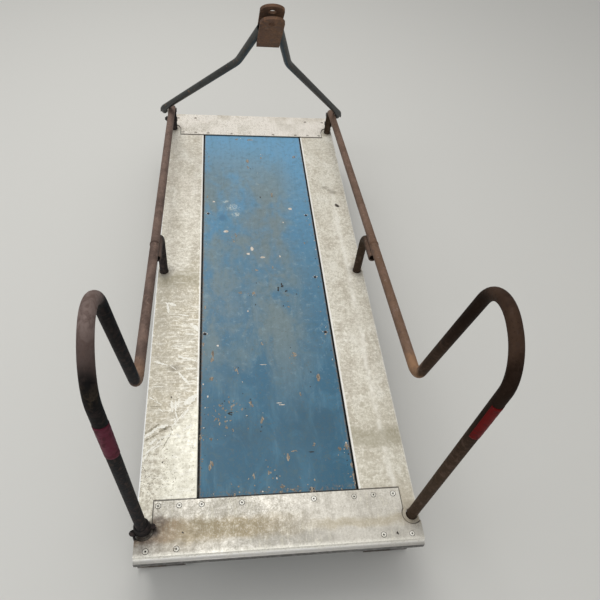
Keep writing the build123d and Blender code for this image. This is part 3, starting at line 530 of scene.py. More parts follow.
def rust_finish(name, fresh, old, bloom):
    """Brown surface rust over dark steel; the posts' feet, the hoops' legs and more are nearly black."""
    rust = Finish(name, fresh, Metallic=0.12, Specular_IOR_Level=0.03)
    y, z = rust.y, rust.z
    clouds = rust.noise(14.0, 4.0, 0.6, warp=0.6)
    grain = rust.noise(240.0, 4.0, 0.7)
    specks = rust.noise(90.0, 4.0, 0.65, stretch=(1.0, 0.6, 1.0), warp=0.8)
    on_right = rust.ramp(rust.x, -0.05, 0.05)
    rust.lay(old, (clouds, 0.4, 0.62))
    rust.lay((0.185, 0.108, 0.062), on_right, (z, 0.33, 0.38, 0.35, 0.6))
    rust.lay(bloom, (specks, 0.50, 0.66), 0.65)
    rust.lay(old, (specks, 0.47, 0.36), 0.5)
    rust.lay((0.050, 0.035, 0.028), (grain, 0.54, 0.68), 0.6)
    rust.lay((0.33, 0.26, 0.22), (rust.noise(55.0, 3.0, 0.6, shift=(7, 2, 1)), 0.66, 0.72), 0.45)

    # The rear bends are orange; the left hoop's top is a paler grey brown, rust with a painted sheen that
    # fades towards the rear; the right one dark
    bend = rust.times(rust.between(y, -0.585, -0.495, 0.015), rust.between(z, 0.36, 0.43, 0.01))
    rust.lay((0.290, 0.170, 0.098), bend, (specks, 0.35, 0.6, 0.5, 0.9), (on_right, 0.0, 1.0, 0.45, 1.0))
    left_top_rust_and_sheen = rust.coat((specks, 0.34, 0.70), (0.195, 0.150, 0.138), (0.095, 0.066, 0.061))
    left_top_rust_and_sheen = rust.coat((y, -0.690, -0.748, 0.0, 0.85), left_top_rust_and_sheen, (0.060, 0.044, 0.041))
    hoop_tops_rust_and_sheen = rust.coat(on_right, left_top_rust_and_sheen, (0.020, 0.0105, 0.0070))
    rust.lay(hoop_tops_rust_and_sheen, rust.times((y, -0.56, -0.60), (z, 0.50, 0.62)), (clouds, 0.35, 0.65, 0.92, 0.75))

    # Nearly black places: the feet, the front posts, the middle posts, and the legs of the hoops
    front = rust.times((y, 0.585, 0.61), (z, 0.29, 0.27))
    middle = rust.times(rust.between(y, -0.16, -0.03, 0.01), (z, 0.345, 0.325))
    rear_leg = rust.times((y, -0.69, -0.72), (z, 0.712, 0.680))
    rear_leg = rust.most(rear_leg, rust.times((y, -0.740, -0.762), (z, 0.50, 0.60)))
    front_leg = rust.times(rust.between(y, -0.665, -0.560, 0.006), rust.between(z, 0.415, 0.735, 0.015))
    legs = rust.times(rust.most(rear_leg, front_leg), (on_right, 0.0, 1.0, 1.0, 0.85))
    black = rust.most(rust.times((z, 0.275, 0.215), 0.8), front, rust.times(middle, 0.92), legs)

    # The black is bluish on the left and brown on the right, and rubbed brown above the left leg's tape
    worn = rust.times(rust.between(z, 0.696, 0.722, 0.010), (specks, 0.36, 0.64), (y, -0.70, -0.73))
    left_black = rust.coat((z, 0.64, 0.40), (0.0070, 0.0068, 0.0072), (0.0150, 0.0165, 0.0190))
    left_black = rust.coat(worn, left_black, (0.030, 0.024, 0.016))
    right_black = rust.coat((z, 0.60, 0.30), (0.0125, 0.0070, 0.0045), (0.031, 0.021, 0.0125))
    rust.lay(rust.coat(on_right, left_black, right_black), black, (specks, 0.66, 0.45, 0.8, 0.98))
    height = rust.plus(grain, rust.times(specks, 0.8))
    return rust.done((rust.plus(grain, specks), 0.7, 1.3, 0.45, 0.75), height, 0.45, 0.35)


def steel_finish(name, base, stain, rust, gloss):
    """Bare or plated steel with dull stains and specks of rust."""
    steel = Finish(name, base, Metallic=0.55)
    clouds = steel.noise(22.0, 4.0, 0.6, warp=0.5)
    specks = steel.noise(140.0, 4.0, 0.68)
    strokes = steel.noise(90.0, 3.0, 0.6, stretch=(2.0, 0.15, 1.0))
    steel.lay(stain, (clouds, 0.42, 0.62))
    steel.lay(base, (strokes, 0.5, 0.68), 0.4)
    steel.lay(rust, (specks, 0.54, 0.66), 0.7)
    rough = (steel.plus(clouds, specks), 0.7, 1.25, gloss, gloss + 0.3)
    return steel.done(rough, steel.plus(specks, steel.times(strokes, 0.4)), 0.35, 0.3)


def black_paint_finish():
    """Black paint on the drawbar's tube, chipped to rust along its length."""
    paint = Finish("black_tube", (0.014, 0.0155, 0.015), Specular_IOR_Level=0.25)
    chips = paint.noise(110.0, 4.0, 0.65, stretch=(1.0, 0.7, 0.7))
    haze = paint.noise(18.0, 3.0, 0.6)
    bare = paint.ramp(chips, 0.64, 0.67)
    paint.lay((0.032, 0.035, 0.033), (haze, 0.4, 0.65))
    paint.lay((0.17, 0.10, 0.065), bare)
    height = paint.minus(paint.times(chips, 0.3), bare)
    return paint.done((paint.plus(haze, bare), 0.3, 1.4, 0.42, 0.75), height, 0.4, 0.25)


def tape_finish():
    """Dark red vinyl tape, greasy and browned; a purer red on the right leg."""
    tape = Finish("red_tape", (0.098, 0.014, 0.030), Specular_IOR_Level=0.06)
    darkening = tape.noise(70.0, 4.0, 0.65, warp=0.6)
    wraps = tape.noise(200.0, 2.0, 0.5, stretch=(0.3, 0.3, 2.5))
    tape.lay((0.112, 0.003, 0.003), (tape.x, -0.1, 0.1))
    tape.lay((0.040, 0.016, 0.016), (darkening, 0.48, 0.66), 0.6)
    return tape.done((darkening, 0.4, 0.7, 0.42, 0.65), tape.plus(wraps, darkening), 0.3, 0.3)


def lashing_finish():
    """Greasy black braided line with reddish dust in it."""
    line = Finish("black_line", (0.013, 0.011, 0.011), Specular_IOR_Level=0.2)
    braid = line.node("ShaderNodeTexVoronoi", Vector=line.here, Scale=900.0).outputs["Distance"]
    line.lay((0.040, 0.028, 0.026), (line.noise(60.0, 3.0, 0.6), 0.45, 0.65))
    line.lay((0.06, 0.048, 0.044), (braid, 0.35, 0.15), 0.4)
    return line.done(0.7, braid, 0.6, 0.5)


PLANKS = plank_finish()
PLATES = plate_finish()
PANEL = panel_finish()
PIPE = rust_finish("rusty_pipe", (0.180, 0.127, 0.106), (0.115, 0.081, 0.069), (0.225, 0.155, 0.125))
WELD = rust_finish("weld_bead", (0.130, 0.085, 0.068), (0.082, 0.056, 0.048), (0.20, 0.13, 0.10))
RUNNER = rust_finish("runner_steel", (0.120, 0.082, 0.066), (0.070, 0.052, 0.045), (0.19, 0.115, 0.08))
HITCH = rust_finish("hitch_steel", (0.155, 0.085, 0.058), (0.095, 0.060, 0.046), (0.25, 0.135, 0.08))
SKI = steel_finish("ski_steel", (0.24, 0.23, 0.22), (0.13, 0.115, 0.10), (0.16, 0.085, 0.05), 0.35)
ZINC = steel_finish("zinc_plate", (0.62, 0.61, 0.57), (0.44, 0.42, 0.38), (0.24, 0.17, 0.12), 0.38)
BOLT = steel_finish("dark_bolt", (0.060, 0.055, 0.052), (0.035, 0.030, 0.028), (0.12, 0.07, 0.045), 0.35)
RIVET = steel_finish("rivet_aluminium", (0.90, 0.885, 0.83), (0.72, 0.70, 0.63), (0.36, 0.31, 0.24), 0.38)
RIVET_OLD = steel_finish("rivet_browned", (0.66, 0.62, 0.56), (0.48, 0.44, 0.38), (0.26, 0.20, 0.15), 0.45)
# Near black for the rivets' holes and the rings round their heads, and for the screws' slots: grime with
# painted shade in and round the recesses
GRIME_AND_SHADE = steel_finish(
    "grime_in_recess", (0.030, 0.026, 0.023), (0.018, 0.016, 0.015), (0.05, 0.035, 0.025), 0.6
)
BARE = chip_finish("bare_plywood", (0.165, 0.135, 0.105), (0.40, 0.345, 0.275))
PALE = chip_finish("pale_crumbs", (0.52, 0.44, 0.36), (0.86, 0.80, 0.72))
DARK = chip_finish("dark_crumbs", (0.018, 0.018, 0.017), (0.045, 0.042, 0.038))
SCRAPED = chip_finish("scraped_aluminium", (0.92, 0.90, 0.81), (0.98, 0.97, 0.90))
STAINED = chip_finish("stained_aluminium", (0.31, 0.28, 0.21), (0.47, 0.43, 0.34))
SPECKS = chip_finish("brown_specks", (0.15, 0.135, 0.105), (0.32, 0.295, 0.24))
BLACK = black_paint_finish()
TAPE = tape_finish()
LINE = lashing_finish()

NODE_FINISHES = (
    # finish, starts of the nodes' names; the first row that fits is taken, so the spines go before the skis
    (PLANKS, ("deck_plank", "plank_ribs")),
    (PANEL, ("deck_panel",)),
    (PLATES, ("rear_plate", "front_plate")),
    (PIPE, ("front_rail", "hoop", "middle_post")),
    (WELD, ("rail_weld",)),
    (RUNNER, ("ski_spine", "bearer", "spreader", "brace")),
    (SKI, ("ski", "wear_bar")),
    (ZINC, ("pivot_plate", "pivot_washer")),
    (BOLT, ("pivot_bolt", "plate_bolt")),
    (BLACK, ("drawbar_arm",)),
    (HITCH, ("clevis",)),
)
for name, node in nodes.items():
    node.data.materials.clear()
    node.data.materials.append(next(finish for finish, starts in NODE_FINISHES if name.startswith(starts)))


class Recipe(NodeMaker):
    """One Geometry Nodes tree, with a short call for each kind of node that the recipes use."""

    KINDS = {float: "NodeSocketFloat", int: "NodeSocketInt", type(None): "NodeSocketMaterial"}
    # Where a Random Value node keeps its smallest and largest number, and its result
    RANDOM_LOW, RANDOM_HIGH, RANDOM_RESULT = 2, 3, 1

    def __init__(self, name, **inputs):
        """Inputs have their first value, or None for a material; an underscore stands for a space."""
        super().__init__(bpy.data.node_groups.new(name, "GeometryNodeTree"))
        self.tree.interface.new_socket("Geometry", in_out="INPUT", socket_type="NodeSocketGeometry")
        for label, value in inputs.items():
            kind = self.KINDS[type(value)]
            socket = self.tree.interface.new_socket(label.replace("_", " "), in_out="INPUT", socket_type=kind)
            if value is not None:
                socket.default_value = value
        self.tree.interface.new_socket("Geometry", in_out="OUTPUT", socket_type="NodeSocketGeometry")
        self.given = self.node("NodeGroupInput").outputs
        self.result = self.node("NodeGroupOutput").inputs[0]

    def part(self, size, share):
        return self.maths("MULTIPLY", size, share)

    def vector(self, x=0.0, y=0.0, z=0.0):
        return self.node("ShaderNodeCombineXYZ", x, y, z).outputs[0]

    def vectors(self, operation, first, second):
        return self.node("ShaderNodeVectorMath", first, second, settings={"operation": operation}).outputs[0]

    def moved(self, piece, **how):
        return self.node("GeometryNodeTransform", Geometry=piece, **how).outputs[0]

    def random(self, low, high):
        made = self.node("FunctionNodeRandomValue", settings={"data_type": "FLOAT"}, Seed=self.given["Seed"])
        made.inputs[self.RANDOM_LOW].default_value = low
        made.inputs[self.RANDOM_HIGH].default_value = high
        return made.outputs[self.RANDOM_RESULT]

    def disc(self, top, bottom, depth, sides=20):
        return self.node(
            "GeometryNodeMeshCone", Vertices=sides, Radius_Top=top, Radius_Bottom=bottom, Depth=depth
        ).outputs["Mesh"]

    def circle(self, points, radius):
        made = self.node("GeometryNodeCurvePrimitiveCircle", Resolution=points, Radius=radius)
        return made.outputs["Curve"]

    def ring(self, radius, thick, high):
        """A round lip: a flattened ring of the given radius, thickness and height."""
        path = self.circle(20, radius)
        flat = self.moved(self.circle(8, 1.0), Scale=self.vector(thick, high, 1.0))
        made = self.node("GeometryNodeCurveToMesh", Curve=path, Profile_Curve=flat, Fill_Caps=False)
        return made.outputs[0]

    def join(self, *pieces):
        made = self.node("GeometryNodeJoinGeometry")
        for piece in pieces:
            self.feed(made.inputs[0], piece)
        return made.outputs[0]

    def painted(self, mesh, material):
        return self.node("GeometryNodeSetMaterial", Geometry=mesh, Material=self.given[material]).outputs[0]

    def spread(self, piece, points=None, **how):
        """The piece at each point, as real geometry."""
        points = self.given["Geometry"] if points is None else points
        placed = self.node("GeometryNodeInstanceOnPoints", Points=points, Instance=piece, **how).outputs[0]
        return self.node("GeometryNodeRealizeInstances", Geometry=placed).outputs[0]

    def done(self, mesh):
        self.feed(self.result, mesh)
        return self.tree

    def done_smooth(self, mesh):
        return self.done(self.node("GeometryNodeSetShadeSmooth", Geometry=mesh).outputs[0])


def rivet_recipe():
    """Blind rivets: an outer lip, a shallow groove, a raised collar round the pin's hole; the hole and a thin
    ring round the head are dark discs of grime with painted shade.
    """
    sizes = {"Head_Radius": 0.0050, "Head_Height": 0.0011, "Hole_Radius": 0.0018}
    recipe = Recipe("blind_rivets", **sizes, Seed=3, Metal=None, Groove=None, Hole=None)
    part, given = recipe.part, recipe.given
    radius, high, hole = given["Head Radius"], given["Head Height"], given["Hole Radius"]
    lip = recipe.ring(part(radius, 0.76), part(radius, 0.24), high)
    collar = recipe.ring(part(hole, 1.4), part(hole, 0.45), part(high, 0.9))
    groove = recipe.disc(part(radius, 0.6), part(radius, 0.8), part(high, 0.45))
    bottom = recipe.disc(part(hole, 0.9), hole, part(high, 0.6))
    outline = recipe.disc(part(radius, 1.05), part(radius, 1.14), part(high, 0.12))
    head = recipe.join(
        recipe.painted(recipe.join(lip, collar), "Metal"),
        recipe.painted(groove, "Groove"),
        recipe.painted(recipe.join(bottom, outline), "Hole"),
    )
    return recipe.done_smooth(recipe.spread(head, Scale=recipe.random(0.94, 1.05)))


def screw_recipe():
    """Countersunk screws: a flat head with a rounded rim and a cross slot of thin dark bars, grime with
    painted shade.
    """
    recipe = Recipe("panel_screws", Head_Radius=0.0038, Head_Height=0.0009, Seed=7, Metal=None, Slot=None)
    part = recipe.part
    radius, high = recipe.given["Head Radius"], recipe.given["Head Height"]
    rim = recipe.ring(part(radius, 0.85), part(radius, 0.15), high)
    face = recipe.disc(part(radius, 0.6), part(radius, 0.9), part(high, 1.5))
    slot_wide, slot_deep = 0.0009, 0.0001
    bars = []
    for turn in (0.0, math.pi / 2):
        size = recipe.vector(part(radius, 1.15), slot_wide, slot_deep)
        bar = recipe.node("GeometryNodeMeshCube", Size=size).outputs["Mesh"]
        lift = recipe.vector(z=part(high, 0.8))
        bars.append(recipe.moved(bar, Translation=lift, Rotation=(0.0, 0.0, turn)))
    head = recipe.join(
        recipe.painted(recipe.join(rim, face), "Metal"),
        recipe.painted(recipe.join(*bars), "Slot"),
    )
    return recipe.done_smooth(recipe.spread(head, Rotation=recipe.vector(z=recipe.random(0.0, 1.5))))


def weld_recipe():
    """Hand weld beads: flattened drops laid a step apart along each line."""
    recipe = Recipe("weld_beads", Drop_Radius=0.0032, Step=0.0026, Seed=11, Metal=None)
    given = recipe.given
    line = recipe.node("GeometryNodeMeshToCurve", Mesh=given["Geometry"]).outputs[0]
    by_length = {"mode": "LENGTH"}
    points = recipe.node("GeometryNodeCurveToPoints", settings=by_length, Curve=line, Length=given["Step"])
    drop = recipe.node("GeometryNodeMeshUVSphere", Segments=8, Rings=5, Radius=given["Drop Radius"])
    drop = recipe.moved(drop.outputs["Mesh"], Scale=(1.0, 1.0, 0.62))
    places, turns = points.outputs["Points"], points.outputs["Rotation"]
    beads = recipe.spread(drop, places, Rotation=turns, Scale=recipe.random(0.82, 1.12))
    return recipe.done_smooth(recipe.painted(beads, "Metal"))


def chip_recipe():
    """Chips in the paint: thin flat flakes, each with its own size and a broken outline."""
    recipe = Recipe("paint_chips", Thickness=0.0003, Outline_Grain=420.0, Breakage=1.5, Bottom=None)
    given = recipe.given
    size = recipe.node("GeometryNodeInputNamedAttribute", settings={"data_type": "FLOAT_VECTOR"}, Name="size")
    size = next(s for s in size.outputs if s.enabled and s.name == "Attribute")
    flake = recipe.disc(0.86, 1.0, given["Thickness"], 14)
    flake = recipe.moved(flake, Translation=recipe.vector(z=recipe.part(given["Thickness"], -0.5)))
    flakes = recipe.spread(flake, Scale=size)
    place = recipe.node("GeometryNodeInputPosition").outputs[0]
    noise = recipe.node("ShaderNodeTexNoise", Vector=place, Scale=given["Outline Grain"], Detail=2.0)
    push = recipe.vectors("SUBTRACT", noise.outputs["Color"], (0.5, 0.5, 0.5))
    push = recipe.vectors("MULTIPLY", push, size)
    push = recipe.vectors("MULTIPLY", push, recipe.vector(given["Breakage"], given["Breakage"]))
    broken = recipe.node("GeometryNodeSetPosition", Geometry=flakes, Offset=push).outputs[0]
    return recipe.done(recipe.painted(broken, "Bottom"))


def plain_mesh(holder):
    """The holder's finished shape as a mesh; the holder goes."""
    graph = bpy.context.evaluated_depsgraph_get()
    mesh = bpy.data.meshes.new_from_object(holder.evaluated_get(graph))
    bpy.data.objects.remove(holder)
    return mesh


def ride_on_sled(name, mesh):
    """Adds a finished mesh as a piece of the sled."""
    piece = add_object(name, mesh)
    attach(piece, "sled")


def cast(name, places, edges, tree, values, sizes=()):
    """Runs a recipe on places or lines, and keeps the result as a plain mesh on the sled."""
    seed_mesh = bpy.data.meshes.new(name + "_places")
    seed_mesh.from_pydata([tuple(place) for place in places], edges, [])
    if sizes:
        attribute = seed_mesh.attributes.new("size", "FLOAT_VECTOR", "POINT")
        attribute.data.foreach_set("vector", [number for size in sizes for number in size])
    holder = add_object(name + "_places", seed_mesh)
    modifier = holder.modifiers.new("recipe", "NODES")
    modifier.node_group = tree
    for item in tree.interface.items_tree:
        if item.in_out == "INPUT" and item.name in values:
            modifier[item.identifier] = values[item.name]
    mesh = plain_mesh(holder)
    if "size" in mesh.attributes:
        mesh.attributes.remove(mesh.attributes["size"])
    ride_on_sled(name, mesh)


# Rivets and screws at the places seen in the photograph
REAR_RIVETS = (
    (-239.4, 103.8), (-198.6, 103.1), (-155.2, 102.6), (-76.1, 101.5), (68.6, 100.8), (151.7, 100.5),
    (192.6, 101.9), (233.9, 102.1), (-257.5, 18.9), (-201.1, 20.0), (198.9, 20.7), (256.5, 19.6),
)
FRONT_RIVETS = (
    (-233.6, 1394.0), (-192.0, 1392.0), (-150.0, 1391.0), (-70.0, 1391.0), (72.0, 1391.0), (149.7, 1391.0),
    (192.5, 1391.9), (232.1, 1391.9), (-252.0, 1478.0), (-194.0, 1480.0), (192.1, 1474.9), (253.4, 1474.3),
)
SCREWS = (
    (-147.4, 977.6), (143.3, 973.1), (-153.1, 529.1), (146.8, 528.2), (142.3, 718.4),
)
REAR_HEAD_RADIUS = 0.0050
FRONT_HEAD_RADIUS = 0.0042
rivets = rivet_recipe()
for name, table, metal, radius in (
    ("rear_rivets", REAR_RIVETS, RIVET, REAR_HEAD_RADIUS),
    ("front_rivets", FRONT_RIVETS, RIVET_OLD, FRONT_HEAD_RADIUS),
):
    places = [on_deck(x, y, PLATE_TOP) for x, y in table]
    values = {"Head Radius": radius, "Metal": metal, "Groove": metal, "Hole": GRIME_AND_SHADE}
    cast(name, places, [], rivets, values)
places = [on_deck(x, y, PANEL_TOP) for x, y in SCREWS]
cast("panel_screws", places, [], screw_recipe(), {"Metal": BOLT, "Slot": GRIME_AND_SHADE})


# Where loose chips may lie on the panel, a little inside what the planks and end plates leave open
CHIPS_HALF = 157
CHIPS_REAR, CHIPS_FRONT = 117, 1379


def small_chips(count, seed):
    """Small chips scattered near the larger ones and along the panel's rear and side edges."""
    chance = random.Random(seed)
    table = []
    while len(table) < count:
        kind = chance.random()
        if kind < 0.5:
            x, y = chance.choice(BARE_WOOD)[:2]
            x, y = x + chance.gauss(0, 14), y + chance.gauss(0, 18)
        elif kind < 0.56:
            x, y = chance.uniform(-150, 150), 115 + abs(chance.gauss(0, 12))
        else:
            x, y = chance.choice((-1, 1)) * (158 - abs(chance.gauss(0, 6))), chance.uniform(120, 1370)
        if abs(x) < CHIPS_HALF and CHIPS_REAR < y < CHIPS_FRONT:
            size = chance.uniform(0.5, 1.7)
            table.append((x, y, size * chance.uniform(0.7, 1.3), size * chance.uniform(0.8, 1.6)))
    return tuple(table)


def broken_up(table, seed):
    """Each mark of a table as a few overlapping flakes, so that its outline is uneven."""
    chance = random.Random(seed)
    flakes = []
    for x, y, wide, long in table:
        lean = chance.uniform(-0.5, 0.5)
        for _ in range(4 + int(wide * long / 9)):
            along, away = chance.uniform(-0.85, 0.85), chance.uniform(-0.75, 0.75)
            at_x = x + wide * away * (1 - abs(along) * 0.6) + long * along * lean * 0.5
            size = chance.uniform(0.2, 0.5)
            half_long = long * size * chance.uniform(0.6, 1.2) + 0.3
            flakes.append((at_x, y + long * along, wide * size + 0.3, half_long))
    return tuple(flakes)


def round_screws(seed):
    """Flakes broken from the paint round each screw."""
    chance = random.Random(seed)
    table = []
    for x, y in SCREWS:
        for _ in range(6):
            turn, far = chance.uniform(0, 2 * math.pi), chance.uniform(4.0, 6.5)
            size = chance.uniform(0.6, 1.8)
            at_x, at_y = x + far * math.cos(turn), y + far * math.sin(turn)
            table.append((at_x, at_y, size, size * chance.uniform(0.7, 1.2)))
    return tuple(table)


def scraped_lines(table, seed):
    """Each scrape as small overlapping flakes scattered along its line, thinner at its ends."""
    chance = random.Random(seed)
    flakes = []
    for x0, y0, x1, y1, wide in table:
        long = math.hypot(x1 - x0, y1 - y0)
        for _ in range(int(long / wide * 3.4) + 6):
            share = chance.random()
            thin = 0.55 + 0.45 * math.sin(math.pi * share)
            off = chance.uniform(-0.32, 0.32) * wide * thin
            x = x0 + (x1 - x0) * share - (y1 - y0) / long * off
            y = y0 + (y1 - y0) * share + (x1 - x0) / long * off
            size = wide * thin * chance.uniform(0.40, 0.70)
            flakes.append((x, y, size * chance.uniform(0.9, 1.4), size * chance.uniform(0.8, 1.1)))
    return tuple(flakes)


def plank_specks(seed):
    """Brown specks gathered on the left plank's outer half near its rear end, and a few elsewhere."""
    chance = random.Random(seed)
    table = []
    for _ in range(230):
        size = chance.uniform(0.3, 0.95)
        x = -277 + 70 * chance.random() ** 1.3
        table.append((x, chance.triangular(116, 235, 150), size, size * chance.uniform(0.7, 1.3)))
    for _ in range(160):
        side = chance.choice((-1, 1))
        size = chance.uniform(0.3, 0.8)
        x, y = side * chance.uniform(172, 276), chance.uniform(125, 1370)
        table.append((x, y, size, size * chance.uniform(0.7, 1.5)))
    return tuple(table)


# What flakes lie on: its height over the deck, the flakes' thickness in metres, and the material slot.
# Each flake has a thickness of its own, so that no two that overlap share a plane.
ON_PANEL = (PANEL_TOP, 0.0003, "blue_plywood")
ON_PLANKS = (0.0, 0.0001, "aluminium_planks")
chips = chip_recipe()
chance = random.Random(31)
for name, table, bottom, (level, thick, slot) in (
    ("bare_wood_chips", broken_up(BARE_WOOD, 5) + small_chips(170, 21), BARE, ON_PANEL),
    ("pale_chips", PALE_CHIPS + small_chips(26, 4) + round_screws(12), PALE, ON_PANEL),
    ("dark_crumbs", broken_up(DARK_SPOTS, 3) + small_chips(60, 9), DARK, ON_PANEL),
    ("plank_streaks", scraped_lines(STREAKS, 6), STAINED, ON_PLANKS),
    ("plank_scrapes", scraped_lines(SCRAPES, 8), SCRAPED, ON_PLANKS),
    ("plank_specks", plank_specks(17), SPECKS, ON_PLANKS),
):
    places = [on_deck(x, y, level) for x, y, wide, long in table]
    sizes = [(wide / 1000, long / 1000, chance.uniform(0.5, 2.0)) for x, y, wide, long in table]
    cast(name, places, [], chips, {"Bottom": bottom, "Thickness": thick}, sizes)


X = Vector((1, 0, 0))
Y = Vector((0, 1, 0))


class Lines:
    """Collects the lines that weld beads follow."""

    def __init__(self):
        self.verts = []
        self.edges = []

    def run(self, points):
        start = len(self.verts)
        self.verts += points
        self.edges += [(start + i, start + i + 1) for i in range(len(points) - 1)]

    def ring(self, centre, radius, first=0.0, last=2 * math.pi, count=24):
        angles = [first + (last - first) * i / count for i in range(count + 1)]
        self.run([centre + X * (radius * math.cos(a)) + Y * (radius * math.sin(a)) for a in angles])


LEG_LEAN = Vector((HOOP_REAR[0] - REAR_POST[0], HOOP_REAR[1] - REAR_POST[1], HOOP_REAR[2])) / HOOP_REAR[2]


def post_at(post, z, side):
    """The centre of a post at a height over the deck."""
    lean = LEG_LEAN * z if post == REAR_POST else Vector((0, 0, z))
    return on_deck(side * (post[0] + lean.x), post[1] + lean.y, z)


# Weld beads on the frame, in deck millimetres: the beads' lines stand a little off the surfaces
RING_R = (PIPE_R + 1.6) / 1000
BEAD_OFF = 0.6
SKI_BEAD_OFF = 0.8
FOOT_BEAD_OFF = 1.0
BEARER_ARC = 1.2
SPREADERS_Y = (215.0, 1285.0)
SPREADER_HALF = 13.0
SPREADER_LEVELS = (-166.0, -142.0)
BRACES_Y = (300.0, 1180.0)
BRACE_HALF = 3.4
BRACE_BEAD_HALF = 16.0
STITCHES_Y = [120.0 + 160.0 * step for step in range(9)]
STITCH_HALF = 14.0

frame_welds = Lines()
for side in (-1, 1):
    for post in (REAR_POST, MIDDLE_POST, FRONT_POST):
        frame_welds.ring(post_at(post, SPINE_TOP + FOOT_BEAD_OFF, side), RING_R)
        facing = math.pi if side > 0 else 0.0
        for level in (BEARER_TOP + BEAD_OFF, BEARER_LOW - BEAD_OFF):
            centre = post_at(post, level, side)
            frame_welds.ring(centre, RING_R, facing - BEARER_ARC, facing + BEARER_ARC, 12)
    for spreader_y in SPREADERS_Y:
        x = side * (SPINE_X - SPINE_HALF - BEAD_OFF)
        for edge in (-SPREADER_HALF, SPREADER_HALF):
            frame_welds.run([on_deck(x, spreader_y + edge, z) for z in SPREADER_LEVELS])
    for brace_y in BRACES_Y:
        for offset in (-BRACE_HALF, BRACE_HALF):
            x, ends = side * SPINE_X + offset, (-BRACE_BEAD_HALF, BRACE_BEAD_HALF)
            frame_welds.run([on_deck(x, brace_y + end, SPINE_TOP + BEAD_OFF) for end in ends])
    for stitch_y in STITCHES_Y:
        for edge in (-SPINE_HALF - SKI_BEAD_OFF, SPINE_HALF + SKI_BEAD_OFF):
            x, ends = side * SPINE_X + edge, (-STITCH_HALF, STITCH_HALF)
            frame_welds.run([on_deck(x, stitch_y + end, SKI_TOP + SKI_BEAD_OFF) for end in ends])
cast("frame_welds", frame_welds.verts, frame_welds.edges, weld_recipe(), {"Metal": WELD})

# The tape: its width in metres; the rest in millimetres, how far it stands off the pipe, how much more a
# second layer does, how much it creases, and how deep its ends go into the pipe
TAPE_WIDE = 0.019
TAPE_OFF = 0.3
TAPE_LAYER = 0.25
TAPE_CREASE = 0.6
TAPE_SUNK = 0.5


def tape_band(name, side, top, low, tilts, first, last):
    """Tape round a rear leg from one angle to another, with a stepped overlap and slanting ends.

    top and low are heights over the deck, tilts how far each end is raised on the rear side, in
    millimetres; the angles are in degrees, and 360 of them make a whole ring.
    """
    around, along = 40, 22
    whole = last - first == 360
    count = around if whole else around + 1
    start, end = post_at(REAR_POST, top, side), post_at(REAR_POST, low, side)
    axis = (end - start).normalized()
    across = axis.cross(Y).normalized()
    up = axis.cross(across)
    chance = random.Random(side + 5)
    lift = [chance.uniform(0.0, 0.25) for _ in range(count)]
    mesh = bmesh.new()
    rows, inner = [], []
    for row in range(along + 1):
        tilt = tilts[0] + (tilts[1] - tilts[0]) * row / along
        distance = (end - start).length * row / along
        ring, base = [], []
        for step in range(count):
            angle = math.radians(first + (last - first) * step / around)
            out = across * math.cos(angle) + up * math.sin(angle)
            turn = (distance / TAPE_WIDE + step / around) % 1.0
            middle = start + axis * (distance + out.y * tilt / 1000)
            high = PIPE_R + TAPE_OFF + TAPE_LAYER * turn + lift[step] * TAPE_CREASE
            ring.append(mesh.verts.new(middle + out * high / 1000))
            if row in (0, along):
                base.append(mesh.verts.new(middle + out * (PIPE_R - TAPE_SUNK) / 1000))
        rows.append(ring)
        if base:
            inner.append(base)
    steps = [(step, (step + 1) % count) for step in range(around)]

    def strip(upper, lower, rounded=False):
        for i, j in steps:
            mesh.faces.new((upper[i], upper[j], lower[j], lower[i])).smooth = rounded

    for upper, lower in zip(rows[:-1], rows[1:]):
        strip(upper, lower, True)
    for upper, lower in ((inner[0], rows[0]), (rows[-1], inner[1]), (inner[1], inner[0])):
        strip(upper, lower)
    if not whole:
        for at in (0, -1):
            mesh.faces.new([ring[at] for ring in rows] + [inner[1][at], inner[0][at]])
    bmesh.ops.recalc_face_normals(mesh, faces=mesh.faces)
    data = bpy.data.meshes.new(name)
    mesh.to_mesh(data)
    mesh.free()
    data.materials.append(TAPE)
    ride_on_sled(name, data)


tape_band("tape_band_left", -1, 446.0, 353.0, (6.0, 3.0), 0, 360)
tape_band("tape_band_right", 1, 464.0, 367.0, (0.0, 0.0), -30, 156)


def wound_line(name, routes, thick):
    """Black line as one mesh: each route is a smooth curve through a few points, with a round section."""
    curve = bpy.data.curves.new(name + "_route", "CURVE")
    curve.dimensions = "3D"
    curve.bevel_depth = thick / 2000
    curve.bevel_resolution = 3
    curve.resolution_u = 6
    curve.use_fill_caps = True
    for route in routes:
        spline = curve.splines.new("NURBS")
        spline.points.add(len(route) - 1)
        for point, place in zip(spline.points, route):
            point.co = (*place, 1.0)
        spline.order_u = 3
        spline.use_endpoint_u = True
    data = plain_mesh(add_object(name + "_route", curve))
    data.shade_smooth()
    data.materials.clear()
    data.materials.append(LINE)
    ride_on_sled(name, data)


def knot_turns(centre, size, turns, seed):
    """A tight knot: a few loops wound about one another round a centre."""
    steps = 9
    chance = random.Random(seed)
    lean, tip = chance.uniform(0, 3), chance.uniform(0.6, 1.2)
    points = []
    for step in range(turns * steps):
        a = 2 * math.pi * step / steps
        b = a * 0.37 + lean
        place = Vector((math.cos(a), math.sin(a) * math.cos(b * tip), 0.8 * math.sin(a) * math.sin(b)))
        points.append(centre + place * size / 1000)
    return points


# The line tied round the foot of the left rear leg, in millimetres: a cone of turns that rise round the
# leg, lie a little flattened and a little in front of its middle, and waver, with a knot at each side
LINE_THICK = 5.0
TURNS, STEPS = 7, 11
FOOT_UP, RISE = 5.0, 24.0
TURN_OFF, TURN_SPREAD, TURN_WAVER = 2.2, 1.8, 0.7
WAVERS_A_TURN = 2.3
FLATTENED, FORWARD = 0.94, 0.9

